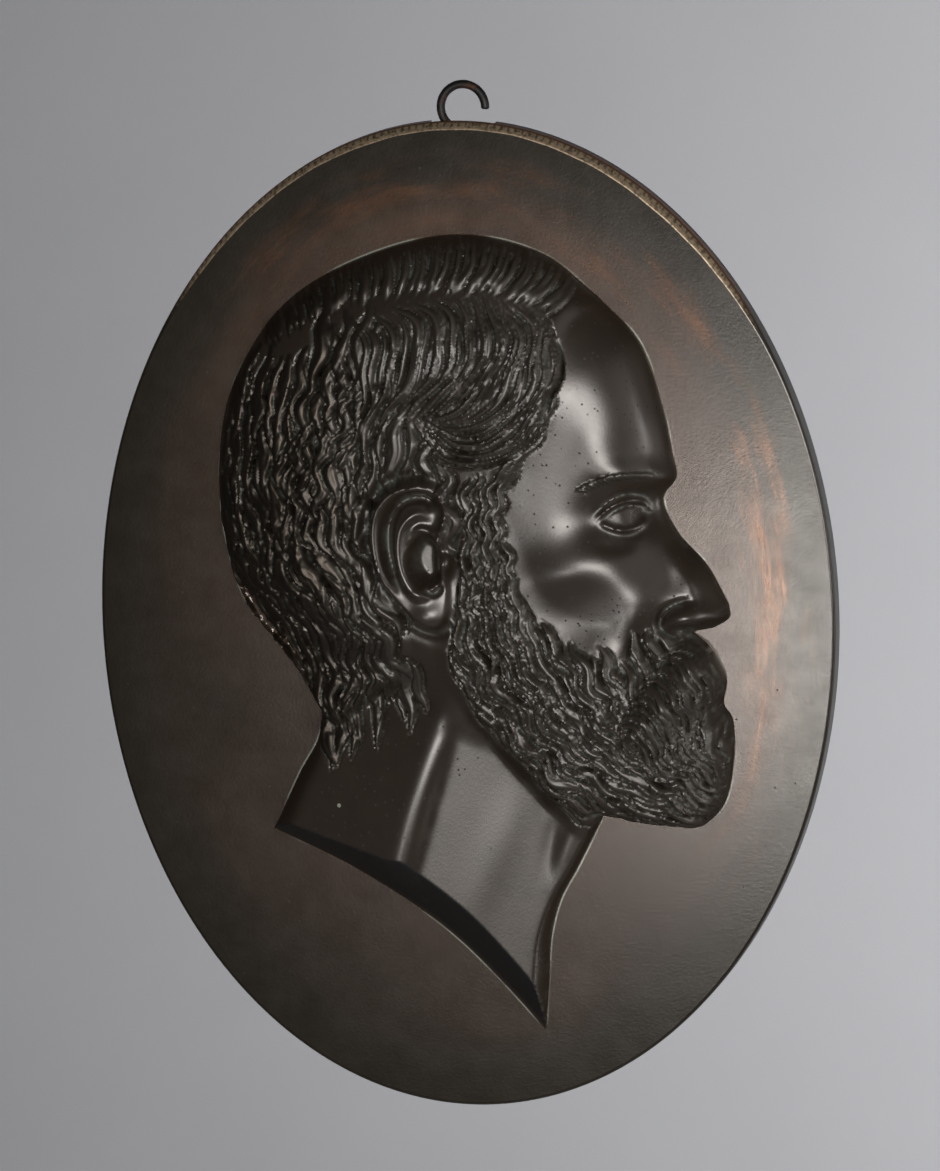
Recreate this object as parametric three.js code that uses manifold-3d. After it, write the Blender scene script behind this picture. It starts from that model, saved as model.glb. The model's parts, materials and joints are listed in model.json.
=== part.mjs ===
// A cast bronze relief plaque: an oval ground with a man's head in high relief, seen from its
// right side, hung from a bent iron screw hook behind its top edge.
//
// Millimetres, +Z up. The plaque faces -Y and its flat back faces +Y. The origin is the nail's
// bearing point: the top of the inside of the hook's ring, in the middle plane of its wire.
import * as THREE from 'three';
import Module from 'manifold-3d';
import { mergeVertices } from 'three/addons/utils/BufferGeometryUtils.js';

const wasm = await Module();
wasm.setup();

// ---------------------------------------------------------------- driving dimensions

const OVAL = { width: 360, height: 480, thickness: 10 };
const EDGE = { draft: 0.8, bevel: 0.8, filedBevel: 3.2, filedFrom: 30, filedTo: 150, fade: 25 };
const DISH = { depth: 0.8 };

const HOOK = {
  wire: 4.1, innerRadius: 8.5, ringRise: 5, openFrom: -4, openTo: 238, bendRise: 5.5, bendPull: 3.3,
  sides: 12, arcPoints: 25, steps: 48,
};
const POCKET = { width: 31, below: 17, wallClearance: 0.5 };
const BORE = { gap: 0.3, depth: 22, sides: 20 };

// The head is laid out on the usual canon: the eye line halfway down, and the hairline, brow,
// nose base and chin about a quarter of its height apart.
const HEAD = { height: 250, crown: 186, back: -117, depthShare: 0.875 };
const CANON = { hairline: 0.17, brow: 0.44, eye: 0.5, noseBase: 0.72, mouth: 0.81, chin: 1 };

const RELIEF = {
  skull: 30, jaw: 27, skullRound: 60, neckRound: 46, roundness: 2.3, wall: 6, sunk: 1.2, edgeFade: 9,
};
const MESH = { around: 120, outlinePoints: 200, dishRings: [0.9, 0.72, 0.45], step: 4.8 };
const HAIR = { thickness: 2.6, lockWidth: 6.4, lockRise: 3.6 };

// ---------------------------------------------------------------- places worked out from them

const ringRadius = HOOK.innerRadius + HOOK.wire / 2;
const ringCentreZ = -HOOK.innerRadius;
const ovalCentreZ = ringCentreZ - HOOK.ringRise - OVAL.height / 2;
const boreEndZ = ringCentreZ - HOOK.ringRise - POCKET.below - BORE.depth;
const backY = HOOK.wire / 2 + POCKET.wallClearance;
const groundY = backY - OVAL.thickness;

// Level and frontness of a point on the head, in the plaque's plane, from the oval's centre.
const level = (share) => HEAD.crown - share * HEAD.height;
const front = HEAD.back + HEAD.depthShare * HEAD.height;
const noseReach = 0.11 * HEAD.height;
const ear = {
  x: HEAD.back + 0.47 * HEAD.depthShare * HEAD.height + 4,
  z: (level(CANON.brow) + level(CANON.noseBase)) / 2,
};

const at = (x, z) => new THREE.Vector2(x, z);
const clamp = THREE.MathUtils.clamp;
const mix = THREE.MathUtils.lerp;

// An eased step from 0 at `from` to 1 at `to`, whichever of the two is the larger.
function smooth(from, to, x) {
  const t = clamp((x - from) / (to - from), 0, 1);
  return t * t * (3 - 2 * t);
}

// The value at x of a table of [x, value] rows, with straight lines between them.
function between(x, rows) {
  const next = Math.max(rows.findIndex(([from]) => from > x), 0) || (x < rows[0][0] ? 1 : rows.length - 1);
  const [[x0, v0], [x1, v1]] = [rows[next - 1], rows[next]];
  return mix(v0, v1, clamp((x - x0) / (x1 - x0), 0, 1));
}

// ---------------------------------------------------------------- outlines in the plaque's plane

// From the nape over the skull and down the face to the beard, then the front of the neck.
function upperOutline() {
  const brow = level(CANON.brow);
  const eye = level(CANON.eye);
  const nose = level(CANON.noseBase);
  const mouth = level(CANON.mouth);
  const chin = level(CANON.chin);
  const path = new THREE.Path();
  path.moveTo(-68, -44);
  path.splineThru([
    at(-84, -19), at(-105, 6), at(-115, 36), at(HEAD.back - 1, 73), at(-111, 112), at(-85, 152),
    at(-45, 176), at(0, HEAD.crown + 1), at(40, 179), at(66, 160),
  ]);
  path.splineThru([
    at(front - 16, level(CANON.hairline) - 4), at(front - 5, brow + 34), at(front, brow + 12),
    at(front + 2, brow + 1), at(front - 4, eye + 6), at(front + 3, eye - 10),
    at(front + noseReach * 0.62, nose + 30), at(front + noseReach, nose + 12),
  ]);
  path.splineThru([
    at(front + noseReach + 0.5, nose + 6), at(front + noseReach - 6, nose + 1), at(front + 11, nose - 2),
  ]);
  path.splineThru([
    at(front + 20, nose - 10), at(front + 27, nose - 24), at(front + 26, nose - 36),
    at(front + 30, mouth - 20), at(front + 31, chin + 10), at(front + 27, chin - 14),
    at(front + 17, chin - 25), at(front, chin - 26), at(71, -87),
  ]);
  return path;
}

// The cut of the neck runs from the back corner in one hollow sweep to the front tip.
const NECK = {
  runsOn: 20,
  corner: at(-93, -105),
  tip: at(43, -197),
  sweep: [at(-56, -120.5), at(-17.5, -142), at(1, -155.5), at(24, -177)],
  cutSlopes: [[-65, 1.5], [-30, 1.3], [-14, 1.04], [38, 0.84]],
};

function headOutline(neckRunsOn) {
  const path = upperOutline();
  path.splineThru([at(58.5, -114), at(50, -131), at(45.5, -150), at(44.5, -172), NECK.tip]);
  if (neckRunsOn) {
    path.lineTo(NECK.tip.x + 3, NECK.tip.y - NECK.runsOn);
    path.lineTo(NECK.corner.x - 7, NECK.corner.y - NECK.runsOn);
    path.lineTo(NECK.corner.x, NECK.corner.y);
  } else {
    path.splineThru([...NECK.sweep].reverse().concat(NECK.corner));
  }
  path.splineThru([at(-90, -99), at(-79, -75), at(-70, -58), at(-68, -44)]);
  return path;
}

const cutLine = new THREE.SplineCurve([NECK.corner, ...NECK.sweep, NECK.tip]).getSpacedPoints(40);
const wholeOutline = headOutline(true).getSpacedPoints(MESH.outlinePoints).slice(0, MESH.outlinePoints);
const outline = headOutline(false).getSpacedPoints(MESH.outlinePoints).slice(0, MESH.outlinePoints);

function inside(p, line) {
  let crossings = 0;
  line.forEach((a, i) => {
    const b = line[(i + 1) % line.length];
    if ((a.y > p.y) !== (b.y > p.y) && p.x < a.x + ((p.y - a.y) * (b.x - a.x)) / (b.y - a.y)) crossings += 1;
  });
  return crossings % 2 === 1;
}

function distanceToLine(p, line) {
  let best = Infinity;
  let along = 0;
  for (let i = 0; i < line.length - 1; i += 1) {
    const ax = line[i].x;
    const az = line[i].y;
    const bx = line[i + 1].x - ax;
    const bz = line[i + 1].y - az;
    const t = clamp(((p.x - ax) * bx + (p.y - az) * bz) / (bx * bx + bz * bz || 1), 0, 1);
    const d = Math.hypot(p.x - ax - t * bx, p.y - az - t * bz);
    if (d < best) {
      best = d;
      along = (i + t) / (line.length - 1);
    }
  }
  return { distance: best, along };
}

// How high the neck's cut lies above a place across the plaque.
function cutLevel(x) {
  const next = Math.max(cutLine.filter((p) => p.x <= x).length, 1);
  const [a, b] = [cutLine[next - 1], cutLine[Math.min(next, cutLine.length - 1)]];
  return mix(a.y, b.y, clamp((x - a.x) / (b.x - a.x || 1), 0, 1));
}

// ---------------------------------------------------------------- the modelling of the head

// A soft swelling or hollow: an oval mound whose long axis is turned by `turn` degrees.
const mound = (x, z, along, across, turn, rise) => ({
  x, z, along, across, turn: THREE.MathUtils.degToRad(turn), rise,
});

const eyeX = front - 22;
const [browZ, eyeZ, noseZ, chinZ] = [CANON.brow, CANON.eye, CANON.noseBase, CANON.chin].map(level);
const forms = [
  // The brow, the eye's socket, its ball and its upper lid.
  mound(front - 12, browZ - 2, 17, 5.5, 14, 5),
  mound(eyeX - 2, eyeZ + 1, 15, 9, 10, -7.5),
  mound(eyeX, eyeZ, 9.5, 6.5, 0, 5.5),
  mound(eyeX + 1, eyeZ + 6.5, 11, 2.4, 14, 2),
  // The cheekbone and the temple.
  mound(front - 38, noseZ + 32, 26, 11, 18, 4),
  mound(front - 40, level(CANON.hairline) - 46, 22, 15, 60, -3),
  // The nose's wing, the crease behind it and the nostril.
  mound(front + 6, noseZ + 9, 8, 6.5, 20, 6),
  mound(front - 5, noseZ + 7, 3, 9, 15, -4),
  mound(front + 9, noseZ + 2.5, 4.5, 2, 15, -3),
  // The hollow of the cheek, the moustache, the chin's beard and the beard on the jaw.
  mound(front - 46, noseZ - 2, 22, 17, 70, -3),
  mound(front + 2, noseZ - 22, 20, 10, -50, 9),
  mound(front - 4, chinZ + 16, 34, 26, -40, 8),
  mound(ear.x + 4, chinZ + 44, 42, 20, -38, 5),
];

// The neck's flat passages: a side that falls back from the long muscle, a step down before the
// muscle, and a plane that falls forward to the throat. `muscle` gives the step's foot as [z, x].
const NECK_FORM = {
  muscle: [[-210, -40], [-152, -25], [-126, -18], [-104, -12.4], [-74, -4.5], [-42, 4.4], [-24, 9]],
  front: { height: 26, fall: 0.25, climb: 0.1, z: -124 },
  side: { height: 30.6, fall: 0.2, climb: 0.08, arch: 0.002, z: -88 },
  step: 12,
  throat: 9.5,
};

function neckHeight(x, z) {
  const { front: plane, side, step, throat } = NECK_FORM;
  const foot = between(z, NECK_FORM.muscle);
  const forward = Math.max(plane.height - plane.fall * (x - foot) - plane.climb * (z - plane.z), throat);
  const up = z - side.z;
  const back = side.height + side.fall * Math.min(x - foot + step, 0) - side.climb * up - side.arch * up * up;
  const rise = 1 - (1 - clamp((foot - x) / step, 0, 1)) ** 2.4;
  return mix(forward, back, rise);
}

// How far a place belongs to the neck: below the skull, and behind the line of the beard's edge.
const neckShareAt = (x, z) => smooth(-10, -58, z + 0.35 * (x - 20)) * smooth(4, -8, z + 16 + 1.22 * (x - 4));

// The ear: a raised rim round a hollow, with a lobe, leaning a little back.
const EAR = { height: 72, width: 46, lean: 8, rim: 4.6, rise: 7, hollow: 5 };

function earHeight(x, z) {
  const lean = THREE.MathUtils.degToRad(EAR.lean);
  const u = (x - ear.x) * Math.cos(lean) - (z - ear.z) * Math.sin(lean);
  const v = (x - ear.x) * Math.sin(lean) + (z - ear.z) * Math.cos(lean);
  const narrow = mix(0.62, 1, smooth(-0.6, 0.3, v / EAR.height));
  const r = Math.hypot(u / ((EAR.width / 2) * narrow), v / (EAR.height / 2));
  const rimAt = 1 - (1.4 * EAR.rim) / EAR.width;
  const rim = EAR.rise * Math.exp(-(((r - rimAt) / 0.2) ** 2));
  const hollow = -EAR.hollow * Math.exp(-((r / 0.55) ** 4));
  return rim + hollow;
}

// Hair, beard and moustache are masses over the skin, each divided into locks. A lock is a
// tapering ridge along a curve.
const lock = (points) => ({
  line: new THREE.SplineCurve(points).getSpacedPoints(10), width: HAIR.lockWidth, rise: HAIR.lockRise,
});

function crownLocks() {
  const count = 10;
  return Array.from({ length: count }, (_, k) => {
    const t = k / (count - 1);
    const root = at(mix(-72, 46, t), mix(136, 158, t) + 12 * Math.sin(Math.PI * t));
    const tip = at(mix(-90, 68, t), mix(150, 163, t) + 24 * Math.sin(Math.PI * t));
    return lock([root, at(mix(root.x, tip.x, 0.5) + 4, mix(root.y, tip.y, 0.5)), tip]);
  });
}

function backLocks() {
  const count = 10;
  return Array.from({ length: count }, (_, k) => {
    const t = k / (count - 1);
    const root = at(mix(-88, 34, t), mix(118, 146, t));
    const tip = at(mix(-106, -34, t), mix(36, -52, t) + 6);
    const knee = at(mix(-104, -16, t ** 1.3), mix(84, 60, t));
    const wave = 5 * (k % 2 ? 1 : -1);
    return lock([root, at(mix(root.x, knee.x, 0.5) + wave, mix(root.y, knee.y, 0.5)), knee,
      at(mix(knee.x, tip.x, 0.5) - wave, mix(knee.y, tip.y, 0.5)), tip]);
  });
}

function templeLocks() {
  const count = 5;
  return Array.from({ length: count }, (_, k) => {
    const t = k / (count - 1);
    const sag = mix(84, 118, t);
    return lock([
      at(mix(-22, -2, t), mix(108, 134, t)), at(mix(4, 12, t), sag), at(mix(42, 32, t), mix(118, 136, t)),
    ]);
  });
}

function beardLocks() {
  const count = 8;
  return Array.from({ length: count }, (_, k) => {
    const t = k / (count - 1);
    const root = at(mix(14, 92, t), mix(30, -34, t ** 0.8));
    const tip = at(mix(40, 128, t), mix(-62, -72, t) - 22 * Math.sin(Math.PI * t));
    const wave = 4 * (k % 2 ? 1 : -1);
    return lock([root, at(mix(root.x, tip.x, 0.35) + wave, mix(root.y, tip.y, 0.35)),
      at(mix(root.x, tip.x, 0.7) - wave, mix(root.y, tip.y, 0.7)), tip]);
  });
}

const locks = [...crownLocks(), ...backLocks(), ...templeLocks(), ...beardLocks()];

function lockHeight(p) {
  let best = 0;
  for (const { line, width, rise } of locks) {
    const { distance, along } = distanceToLine(p, line);
    const half = width * (0.45 + 0.55 * Math.sin(Math.PI * clamp(0.15 + 0.8 * along, 0, 1)));
    if (distance < half) best = Math.max(best, rise * Math.cos((distance / half) * (Math.PI / 2)) ** 1.5);
  }
  return best;
}

function moundHeight(x, z) {
  return forms.reduce((sum, form) => {
    const u = (x - form.x) * Math.cos(form.turn) + (z - form.z) * Math.sin(form.turn);
    const v = (z - form.z) * Math.cos(form.turn) - (x - form.x) * Math.sin(form.turn);
    return sum + form.rise * Math.exp(-((u / form.along) ** 2) - (v / form.across) ** 2);
  }, 0);
}

// Hair covers the skull behind the hairline and above the nape.
function hairCover(x, z) {
  const hairline = mix(44, 66, smooth(100, 165, z)) - 34 * smooth(104, 60, z);
  const nape = -58 + 0.35 * (x + 60);
  return smooth(hairline + 3, hairline - 3, x) * smooth(nape - 3, nape + 3, z);
}

// The relief's height above the ground at a point of the plaque's plane.
function reliefHeight(p) {
  const distance = (inside(p, wholeOutline) ? 1 : -1) * distanceToLine(p, wholeOutline).distance;
  const neckShare = neckShareAt(p.x, p.y);
  const jawShare = smooth(40, -40, p.y) * smooth(-20, 60, p.x);
  const full = mix(RELIEF.skull, RELIEF.jaw, jawShare * (1 - neckShare));
  const round = mix(RELIEF.skullRound, RELIEF.neckRound, neckShare);
  const dome = RELIEF.wall + full * (1 - (1 - Math.min(distance / round, 1)) ** RELIEF.roundness);
  const skin = mix(dome, Math.min(dome, neckHeight(p.x, p.y)), neckShare);
  const edge = smooth(0, RELIEF.edgeFade, distance);
  const fromEar = Math.hypot((p.x - ear.x) / (EAR.width / 2), (p.y - ear.z) / (EAR.height / 2));
  const earMask = edge * smooth(1.25, 1.02, fromEar);
  const hair = HAIR.thickness * hairCover(p.x, p.y) + lockHeight(p) * (1 - earMask);
  const body = skin + edge * (moundHeight(p.x, p.y) + hair) + earMask * earHeight(p.x, p.y);
  const cutSide = p.y < cutLevel(p.x) ? -1 : 1;
  const cut = cutSide * between(p.x, NECK.cutSlopes) * distanceToLine(p, cutLine).distance;
  const ground = dishHeight(Math.hypot(p.x / (OVAL.width / 2), p.y / (OVAL.height / 2)));
  return ground + Math.max(-RELIEF.sunk, Math.min(body, cut));
}

// ---------------------------------------------------------------- the casting

// The filed bevel along the top of the edge, by the angle round the oval from its right end.
function bevelAt(angle) {
  const degrees = THREE.MathUtils.radToDeg(angle);
  const filed = smooth(EDGE.filedFrom, EDGE.filedFrom + EDGE.fade, degrees)
    * smooth(EDGE.filedTo, EDGE.filedTo - EDGE.fade, degrees);
  return mix(EDGE.bevel, EDGE.filedBevel, filed);
}

// The ground is a shallow dish: how far it lies below the rim at a share of the oval's radius.
const dishHeight = (share) => -DISH.depth * (1 - clamp(share, 0, 1) ** 2);

// The oval slab as rings of points, from the middle of the back, round the edge and in over the
// front to its middle.
function slabGeometry() {
  const n = MESH.around;
  const angles = Array.from({ length: n }, (_, i) => (2 * Math.PI * i) / n);
  const ring = (shape) => angles.map((angle) => {
    const { inset, out } = shape(angle);
    return [(OVAL.width / 2 - inset) * Math.cos(angle), (OVAL.height / 2 - inset) * Math.sin(angle), out];
  });
  const rings = [
    ring(() => ({ inset: 0, out: -OVAL.thickness })),
    ring((angle) => ({ inset: EDGE.draft, out: -bevelAt(angle) })),
    ring((angle) => ({ inset: EDGE.draft + bevelAt(angle), out: 0 })),
    ...MESH.dishRings.map((share) => angles.map((angle) => [
      share * (OVAL.width / 2) * Math.cos(angle),
      share * (OVAL.height / 2) * Math.sin(angle),
      dishHeight(share),
    ])),
  ];
  const positions = [0, backY, 0];
  rings.forEach((points) => points.forEach(([x, z, out]) => positions.push(x, groundY - out, z)));
  const middle = positions.length / 3;
  positions.push(0, groundY + DISH.depth, 0);
  const id = (k, i) => 1 + k * n + (i % n);
  const index = [];
  for (let i = 0; i < n; i += 1) {
    index.push(0, id(0, i + 1), id(0, i));
    for (let k = 0; k < rings.length - 1; k += 1) {
      index.push(id(k, i), id(k, i + 1), id(k + 1, i + 1));
      index.push(id(k, i), id(k + 1, i + 1), id(k + 1, i));
    }
    index.push(id(rings.length - 1, i), id(rings.length - 1, i + 1), middle);
  }
  return indexedGeometry(positions, index);
}

function indexedGeometry(positions, index) {
  const geometry = new THREE.BufferGeometry();
  geometry.setAttribute('position', new THREE.Float32BufferAttribute(positions, 3));
  geometry.setIndex(index);
  return geometry;
}

// The head's surface as a net of square cells, closed behind by a flat net inside the slab. Each
// cell is split along the diagonal that climbs least, so that ridges stay whole.
function reliefGeometry() {
  const xs = outline.map((p) => p.x);
  const zs = outline.map((p) => p.y);
  const columns = Math.ceil((Math.max(...xs) - Math.min(...xs)) / MESH.step) + 1;
  const rows = Math.ceil((Math.max(...zs) - Math.min(...zs)) / MESH.step) + 1;
  const positions = [];
  [reliefHeight, () => -OVAL.thickness / 2].forEach((heightAt) => {
    for (let r = 0; r <= rows; r += 1) {
      for (let c = 0; c <= columns; c += 1) {
        const p = at(Math.min(...xs) + (c - 0.5) * MESH.step, Math.min(...zs) + (r - 0.5) * MESH.step);
        positions.push(p.x, groundY - heightAt(p), p.y);
      }
    }
  });
  const wide = columns + 1;
  const count = wide * (rows + 1);
  const index = [];
  for (let r = 0; r < rows; r += 1) {
    for (let c = 0; c < columns; c += 1) {
      const [a, b, d, e] = [r * wide + c, r * wide + c + 1, (r + 1) * wide + c, (r + 1) * wide + c + 1];
      const rise = (i, j) => Math.abs(positions[3 * i + 1] - positions[3 * j + 1]);
      const pair = rise(a, e) < rise(b, d) ? [[a, b, e], [a, e, d]] : [[a, b, d], [b, e, d]];
      pair.forEach(([i, j, k]) => index.push(i, j, k, count + i, count + k, count + j));
    }
  }
  const edge = [
    ...Array.from({ length: columns }, (_, c) => c),
    ...Array.from({ length: rows }, (_, r) => r * wide + columns),
    ...Array.from({ length: columns }, (_, c) => rows * wide + columns - c),
    ...Array.from({ length: rows }, (_, r) => (rows - r) * wide),
  ];
  edge.forEach((from, i) => {
    const to = edge[(i + 1) % edge.length];
    index.push(to, from, count + from, to, count + from, count + to);
  });
  return indexedGeometry(positions, index);
}

// A straight-sided block of the head's outline, which trims the net to its edge.
function outlineGeometry() {
  const depth = 2 * RELIEF.skull + OVAL.thickness;
  const block = new THREE.ExtrudeGeometry(new THREE.Shape(wholeOutline), { depth, bevelEnabled: false });
  return block.rotateX(Math.PI / 2).translate(0, groundY + OVAL.thickness / 2, 0);
}

// ---------------------------------------------------------------- joining and cutting

function solidFrom(geometry) {
  const bare = geometry.clone();
  bare.deleteAttribute('normal');
  bare.deleteAttribute('uv');
  const merged = mergeVertices(bare, 1e-4);
  return new wasm.Manifold(new wasm.Mesh({
    numProp: 3,
    vertProperties: new Float32Array(merged.attributes.position.array),
    triVerts: new Uint32Array(merged.index.array),
  }));
}

function geometryFrom(solid) {
  const mesh = solid.getMesh();
  const geometry = new THREE.BufferGeometry();
  geometry.setAttribute('position', new THREE.BufferAttribute(new Float32Array(mesh.vertProperties), 3));
  geometry.setIndex(new THREE.BufferAttribute(new Uint32Array(mesh.triVerts), 1));
  geometry.computeVertexNormals();
  return geometry;
}

// The pocket in the back that the ring's lower half sits in, open at the top edge, and the blind
// bore below it that takes the hook's shank.
function pocketGeometry() {
  const depth = HOOK.wire + 2 * POCKET.wallClearance;
  const height = POCKET.below + 20;
  const box = new THREE.BoxGeometry(POCKET.width, depth + 1, height);
  return box.translate(0, backY - depth + (depth + 1) / 2, OVAL.height / 2 - POCKET.below + height / 2);
}

function boreGeometry() {
  const length = BORE.depth + 1;
  const radius = HOOK.wire / 2 + BORE.gap;
  const bore = new THREE.CylinderGeometry(radius, radius, length, BORE.sides);
  return bore.rotateX(Math.PI / 2).translate(0, 0, OVAL.height / 2 - POCKET.below - BORE.depth + length / 2);
}

function casting() {
  const relief = solidFrom(reliefGeometry()).intersect(solidFrom(outlineGeometry()));
  const solid = solidFrom(slabGeometry())
    .add(relief)
    .subtract(solidFrom(pocketGeometry()))
    .subtract(solidFrom(boreGeometry()));
  const bronze = new THREE.MeshStandardMaterial({ color: 0x3a2f27, roughness: 0.38, metalness: 0.9 });
  const mesh = new THREE.Mesh(geometryFrom(solid), bronze);
  mesh.name = 'bronze_casting';
  mesh.position.z = ovalCentreZ;
  return mesh;
}

// ---------------------------------------------------------------- the hook

// From the shank's end, up the shank, over a short bend on to the ring, and round it by the left
// to its open end.
function hookCurve() {
  const [openTo, openFrom] = [HOOK.openTo, HOOK.openFrom].map((angle) => THREE.MathUtils.degToRad(angle));
  const ringCentre = new THREE.Vector3(0, 0, ringCentreZ);
  const onRing = (angle) => ringCentre.clone()
    .add(new THREE.Vector3(Math.cos(angle), 0, Math.sin(angle)).multiplyScalar(ringRadius));
  const foot = new THREE.Vector3(0, 0, boreEndZ + 1);
  const shankTop = new THREE.Vector3(0, 0, ringCentreZ - ringRadius - HOOK.bendRise);
  const join = onRing(openTo);
  const heading = new THREE.Vector3(Math.sin(openTo), 0, -Math.cos(openTo));
  const curve = new THREE.CurvePath();
  curve.add(new THREE.LineCurve3(foot, shankTop));
  curve.add(new THREE.CubicBezierCurve3(shankTop, shankTop.clone().setZ(shankTop.z + HOOK.bendPull),
    join.clone().addScaledVector(heading, -HOOK.bendPull), join));
  const last = HOOK.arcPoints - 1;
  const arc = Array.from({ length: HOOK.arcPoints }, (_, k) => onRing(mix(openTo, openFrom, k / last)));
  curve.add(new THREE.CatmullRomCurve3(arc));
  return curve;
}

function hook() {
  const section = new THREE.Shape(Array.from({ length: HOOK.sides }, (_, k) => {
    const angle = (2 * Math.PI * k) / HOOK.sides;
    return at((HOOK.wire / 2) * Math.cos(angle), (HOOK.wire / 2) * Math.sin(angle));
  }));
  const geometry = new THREE.ExtrudeGeometry(section, { steps: HOOK.steps, extrudePath: hookCurve() });
  const iron = new THREE.MeshStandardMaterial({ color: 0x2a2724, roughness: 0.6, metalness: 0.8 });
  const mesh = new THREE.Mesh(geometry, iron);
  mesh.name = 'iron_screw_hook';
  return mesh;
}

// ---------------------------------------------------------------- the whole plaque

const plaque = new THREE.Group();
plaque.add(casting(), hook());

export default plaque;
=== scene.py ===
"""Looks of an oval cast bronze relief plaque with a bearded man's head, on its iron screw hook.

The relief is modelled as clay would be: a sheet of heights over the plaque's plane takes the
head's dome, the soft forms of the face and neck, the ear, and then the hair and beard, combed on
lock by lock. The casting's mesh is draped over that sheet. Plaque-plane sizes are in millimetres
from the oval's centre: x to the viewer's right, z up and out towards the viewer.
"""

import json
import logging
import math
from dataclasses import dataclass, field

import bmesh
import bpy
import numpy as np
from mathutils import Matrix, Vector
from mathutils.geometry import delaunay_2d_cdt

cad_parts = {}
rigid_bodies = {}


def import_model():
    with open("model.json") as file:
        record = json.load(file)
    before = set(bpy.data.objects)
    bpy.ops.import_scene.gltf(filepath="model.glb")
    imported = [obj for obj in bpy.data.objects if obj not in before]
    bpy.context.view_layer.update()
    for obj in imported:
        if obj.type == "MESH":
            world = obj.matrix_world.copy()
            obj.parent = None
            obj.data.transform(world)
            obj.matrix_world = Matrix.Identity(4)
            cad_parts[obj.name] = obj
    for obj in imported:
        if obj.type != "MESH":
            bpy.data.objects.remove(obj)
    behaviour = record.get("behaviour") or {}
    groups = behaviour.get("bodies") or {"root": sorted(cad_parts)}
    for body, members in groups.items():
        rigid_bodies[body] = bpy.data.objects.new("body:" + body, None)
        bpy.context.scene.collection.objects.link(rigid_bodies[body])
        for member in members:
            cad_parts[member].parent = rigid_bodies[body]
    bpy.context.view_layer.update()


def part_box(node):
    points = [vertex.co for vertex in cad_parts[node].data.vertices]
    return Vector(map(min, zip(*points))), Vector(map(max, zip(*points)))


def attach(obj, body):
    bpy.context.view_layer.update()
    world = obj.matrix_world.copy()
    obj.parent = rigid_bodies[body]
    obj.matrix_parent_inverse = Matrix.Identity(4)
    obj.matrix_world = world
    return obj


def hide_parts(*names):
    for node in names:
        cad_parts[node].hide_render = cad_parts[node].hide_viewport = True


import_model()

MM = 0.001
LOG = logging.getLogger("plaque")

Array = np.ndarray
Point = tuple[float, float]
Points = list[Point]
Place = tuple[float, float, float]
Colour = tuple[float, float, float]
Socket = bpy.types.NodeSocket


def smooth(low: float, high: float, value: Array) -> Array:
    """An eased step from 0 at low to 1 at high, whichever of the two is the larger."""
    t = np.clip((np.asarray(value, dtype=np.float64) - low) / (high - low), 0.0, 1.0)
    return t * t * (3.0 - 2.0 * t)


def blend(a: float, b: float, t: float) -> float:
    """The value a share t of the way from a to b."""
    return a + (b - a) * t


def spline(points: Points, step: float = 1.0, closed: bool = False) -> Array:
    """A smooth curve through points, at even steps.

    Args:
        points: the points that the curve passes through.
        step: the distance between its samples.
        closed: whether it joins its last point to its first.

    Returns:
        The samples as rows of (x, z).
    """
    p = np.asarray(points, dtype=np.float64)
    if len(p) == 2:
        count = max(2, int(round(np.hypot(*(p[1] - p[0])) / step)) + 1)
        return p[0] + np.linspace(0, 1, count)[:, None] * (p[1] - p[0])
    if closed:
        p = np.vstack([p[-1], p, p[0], p[1]])
    else:
        p = np.vstack([2 * p[0] - p[1], p, 2 * p[-1] - p[-2]])
    fine = []
    for a, b, c, d in zip(p[:-3], p[1:-2], p[2:-1], p[3:]):
        gaps = (np.sqrt(np.hypot(*(q - o))) + 1e-9 for o, q in ((a, b), (b, c), (c, d)))
        knots = np.cumsum([0.0, *gaps])
        t = np.linspace(knots[1], knots[2], 24, endpoint=False)[:, None]
        ab, bc, cd = (
            ((k1 - t) * q0 + (t - k0) * q1) / (k1 - k0)
            for q0, q1, k0, k1 in ((a, b, *knots[:2]), (b, c, *knots[1:3]), (c, d, *knots[2:]))
        )
        abc = ((knots[2] - t) * ab + (t - knots[0]) * bc) / (knots[2] - knots[0])
        bcd = ((knots[3] - t) * bc + (t - knots[1]) * cd) / (knots[3] - knots[1])
        fine.append(((knots[2] - t) * abc + (t - knots[1]) * bcd) / (knots[2] - knots[1]))
    fine.append(p[-2][None])
    line = np.vstack(fine)
    along = np.concatenate([[0.0], np.cumsum(np.hypot(*np.diff(line, axis=0).T))])
    count = max(3, int(round(along[-1] / step)) + 1)
    even = np.linspace(0.0, along[-1], count)
    return np.column_stack([np.interp(even, along, line[:, k]) for k in (0, 1)])


def distance_to_line(x: Array, z: Array,
                     line: Array) -> tuple[Array, Array, Array]:
    """How far points lie from a line of samples.

    Args:
        x: the points' x.
        z: the points' z.
        line: rows of (x, z).

    Returns:
        The distance, the share of the line at the nearest place, and the side: 1 left, -1 right.
    """
    best = np.full(x.shape, np.inf)
    along = np.zeros(x.shape)
    side = np.ones(x.shape)
    count = len(line) - 1
    for i in range(count):
        ax, az = line[i]
        bx, bz = line[i + 1] - line[i]
        length2 = bx * bx + bz * bz
        if length2 == 0:
            continue
        px, pz = x - ax, z - az
        t = np.clip((px * bx + pz * bz) / length2, 0.0, 1.0)
        d2 = (px - t * bx) ** 2 + (pz - t * bz) ** 2
        nearer = d2 < best
        best = np.where(nearer, d2, best)
        along = np.where(nearer, (i + t) / count, along)
        side = np.where(nearer, np.where(bx * pz - bz * px >= 0, 1.0, -1.0), side)
    return np.sqrt(best), along, side


def lower_of(a: Array, b: Array, soft: float) -> Array:
    """The lower of two heights, rounded over about soft where they cross."""
    return -soft * np.logaddexp(-a / soft, -b / soft)


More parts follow.
